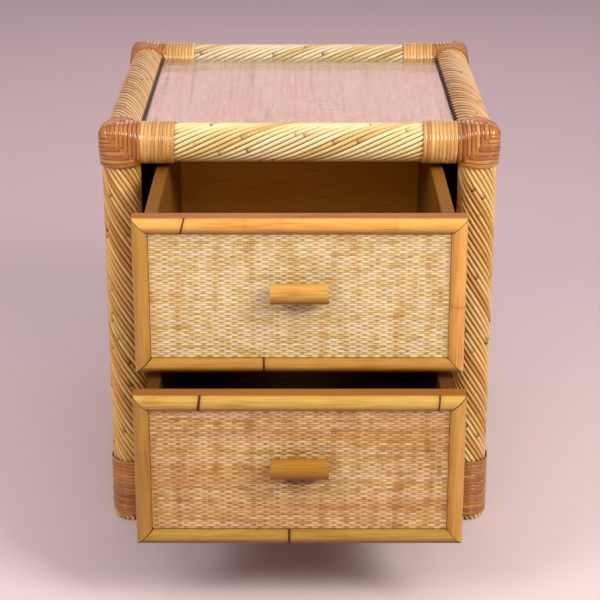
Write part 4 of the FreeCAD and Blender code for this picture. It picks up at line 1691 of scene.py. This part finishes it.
@dataclass
class Studio:
    """Floor, soft lights and the camera."""

    lights: tuple[SoftLight, ...] = (
        SoftLight("left_soft_light", (-1.5, -1.7, 1.7), (0.9, 0.9), 23.0),
        SoftLight("right_soft_light", (1.4, -1.5, 1.7), (0.9, 0.9), 42.0),
        SoftLight("top_soft_light", (0.0, -0.5, 2.2), (1.6, 1.6), 9.0),
        SoftLight("rear_soft_light", (0.0, 2.6, 1.14), (1.6, 0.6), 3.2, "FFC6DA"))
    aim: tuple[float, float, float] = (0.0, -0.15, 0.28)
    eye: tuple[float, float, float] = (0.0, -2.11798, 1.00778)
    pitch: float = math.radians(19.812)
    lens: float = 105.46
    shift: tuple[float, float] = (0.00085, -0.0545)
    sky_shade: str = "FBE3EA"
    sky_strength: float = 0.42
    floor_shade: str = "E6D9DD"
    floor_gloss: float = 0.8
    floor_reach: float = 12.0

    def build(self) -> None:
        """Set the floor, the world, the lights and the camera."""
        self.lay_floor()
        world = bpy.data.worlds.new("studio")
        world.use_nodes = True
        back = world.node_tree.nodes["Background"]
        back.inputs["Color"].default_value = colour(self.sky_shade)
        back.inputs["Strength"].default_value = self.sky_strength
        bpy.context.scene.world = world
        for light in self.lights:
            light.hang(Vector(self.aim))
        lens = bpy.data.cameras.new("camera")
        lens.lens = self.lens
        lens.shift_x, lens.shift_y = self.shift
        camera = bpy.data.objects.new("camera", lens)
        camera.location = self.eye
        camera.rotation_euler = (math.pi / 2 - self.pitch, 0.0, 0.0)
        bpy.context.scene.collection.objects.link(camera)
        bpy.context.scene.camera = camera
        bpy.context.scene.view_settings.view_transform = "Standard"

    def lay_floor(self) -> None:
        """Lay a plain pale floor."""
        mesh = bpy.data.meshes.new("floor")
        corners = ((-1, -1), (1, -1), (1, 1), (-1, 1))
        spots = [(x * self.floor_reach, y * self.floor_reach, 0.0) for x, y in corners]
        mesh.from_pydata(spots, [], [range(len(spots))])
        pale = bpy.data.materials.new("pale_floor")
        pale.use_nodes = True
        shader = pale.node_tree.nodes["Principled BSDF"]
        shader.inputs["Base Color"].default_value = colour(self.floor_shade)
        shader.inputs["Roughness"].default_value = self.floor_gloss
        mesh.materials.append(pale)
        floor = bpy.data.objects.new("floor", mesh)
        bpy.context.scene.collection.objects.link(floor)


UPPER_EDGES = {
    "top": TrimEdge(0.15, (CaneNode(0.053, 0.9, 0.25), CaneNode(0.118, 0.3), CaneNode(0.156, 0.35),
                           CaneNode(0.275, 0.3))),
    "left": TrimEdge(0.78, (CaneNode(0.07, 0.2),)),
    "bottom": TrimEdge(0.88, (CaneNode(0.213, 1.0, 0.0, 1.5 * MM),), 0.6 * MM),
    "right": TrimEdge(0.1, (CaneNode(0.097, 0.45, 0.1),)),
}
LOWER_EDGES = {
    "top": TrimEdge(0.5, (CaneNode(0.0695, 0.9, 0.12, 2.4 * MM), CaneNode(0.321, 1.0, 0.1)), 0.5 * MM),
    "left": TrimEdge(1.0, (CaneNode(0.11, 0.2),)),
    "bottom": TrimEdge(1.0, (CaneNode(0.186, 1.0, 0.0, 2.0 * MM),), 0.5 * MM),
    "right": TrimEdge(0.6, (CaneNode(0.06, 0.2),)),
}


def main() -> None:
    """Dress the whole nightstand and set the studio."""
    logging.basicConfig(level=logging.INFO, format="%(name)s: %(message)s")
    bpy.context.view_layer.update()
    spirals, weaves = SpiralFormer("spiral_strands"), WeaveFormer("plain_weave")
    mats, fine_mats = WovenMat(weaves), WovenMat(weaves, points=4, sides=6)
    CaseFrame(spirals).build()
    CaseBody(mats).build()
    upper = DrawerDress(UPPER_WEAVE, UPPER_PULL, CANE_X, UPPER_FRONT, UPPER_SIDE, UPPER_INSIDE)
    lower = DrawerDress(SHADED_LOWER_WEAVE, SHADED_LOWER_PULL, YELLOW_CANE, SHADED_LOWER_FRONT, SHADED_LOWER_SIDE, SHADED_LOWER_INSIDE)
    Drawer("upper", Body.UPPER, fine_mats, upper, UPPER_EDGES, seed=60).build()
    Drawer("lower", Body.LOWER, fine_mats, lower, LOWER_EDGES, seed=80).build()
    Studio().build()


if __name__ == "__main__":
    main()
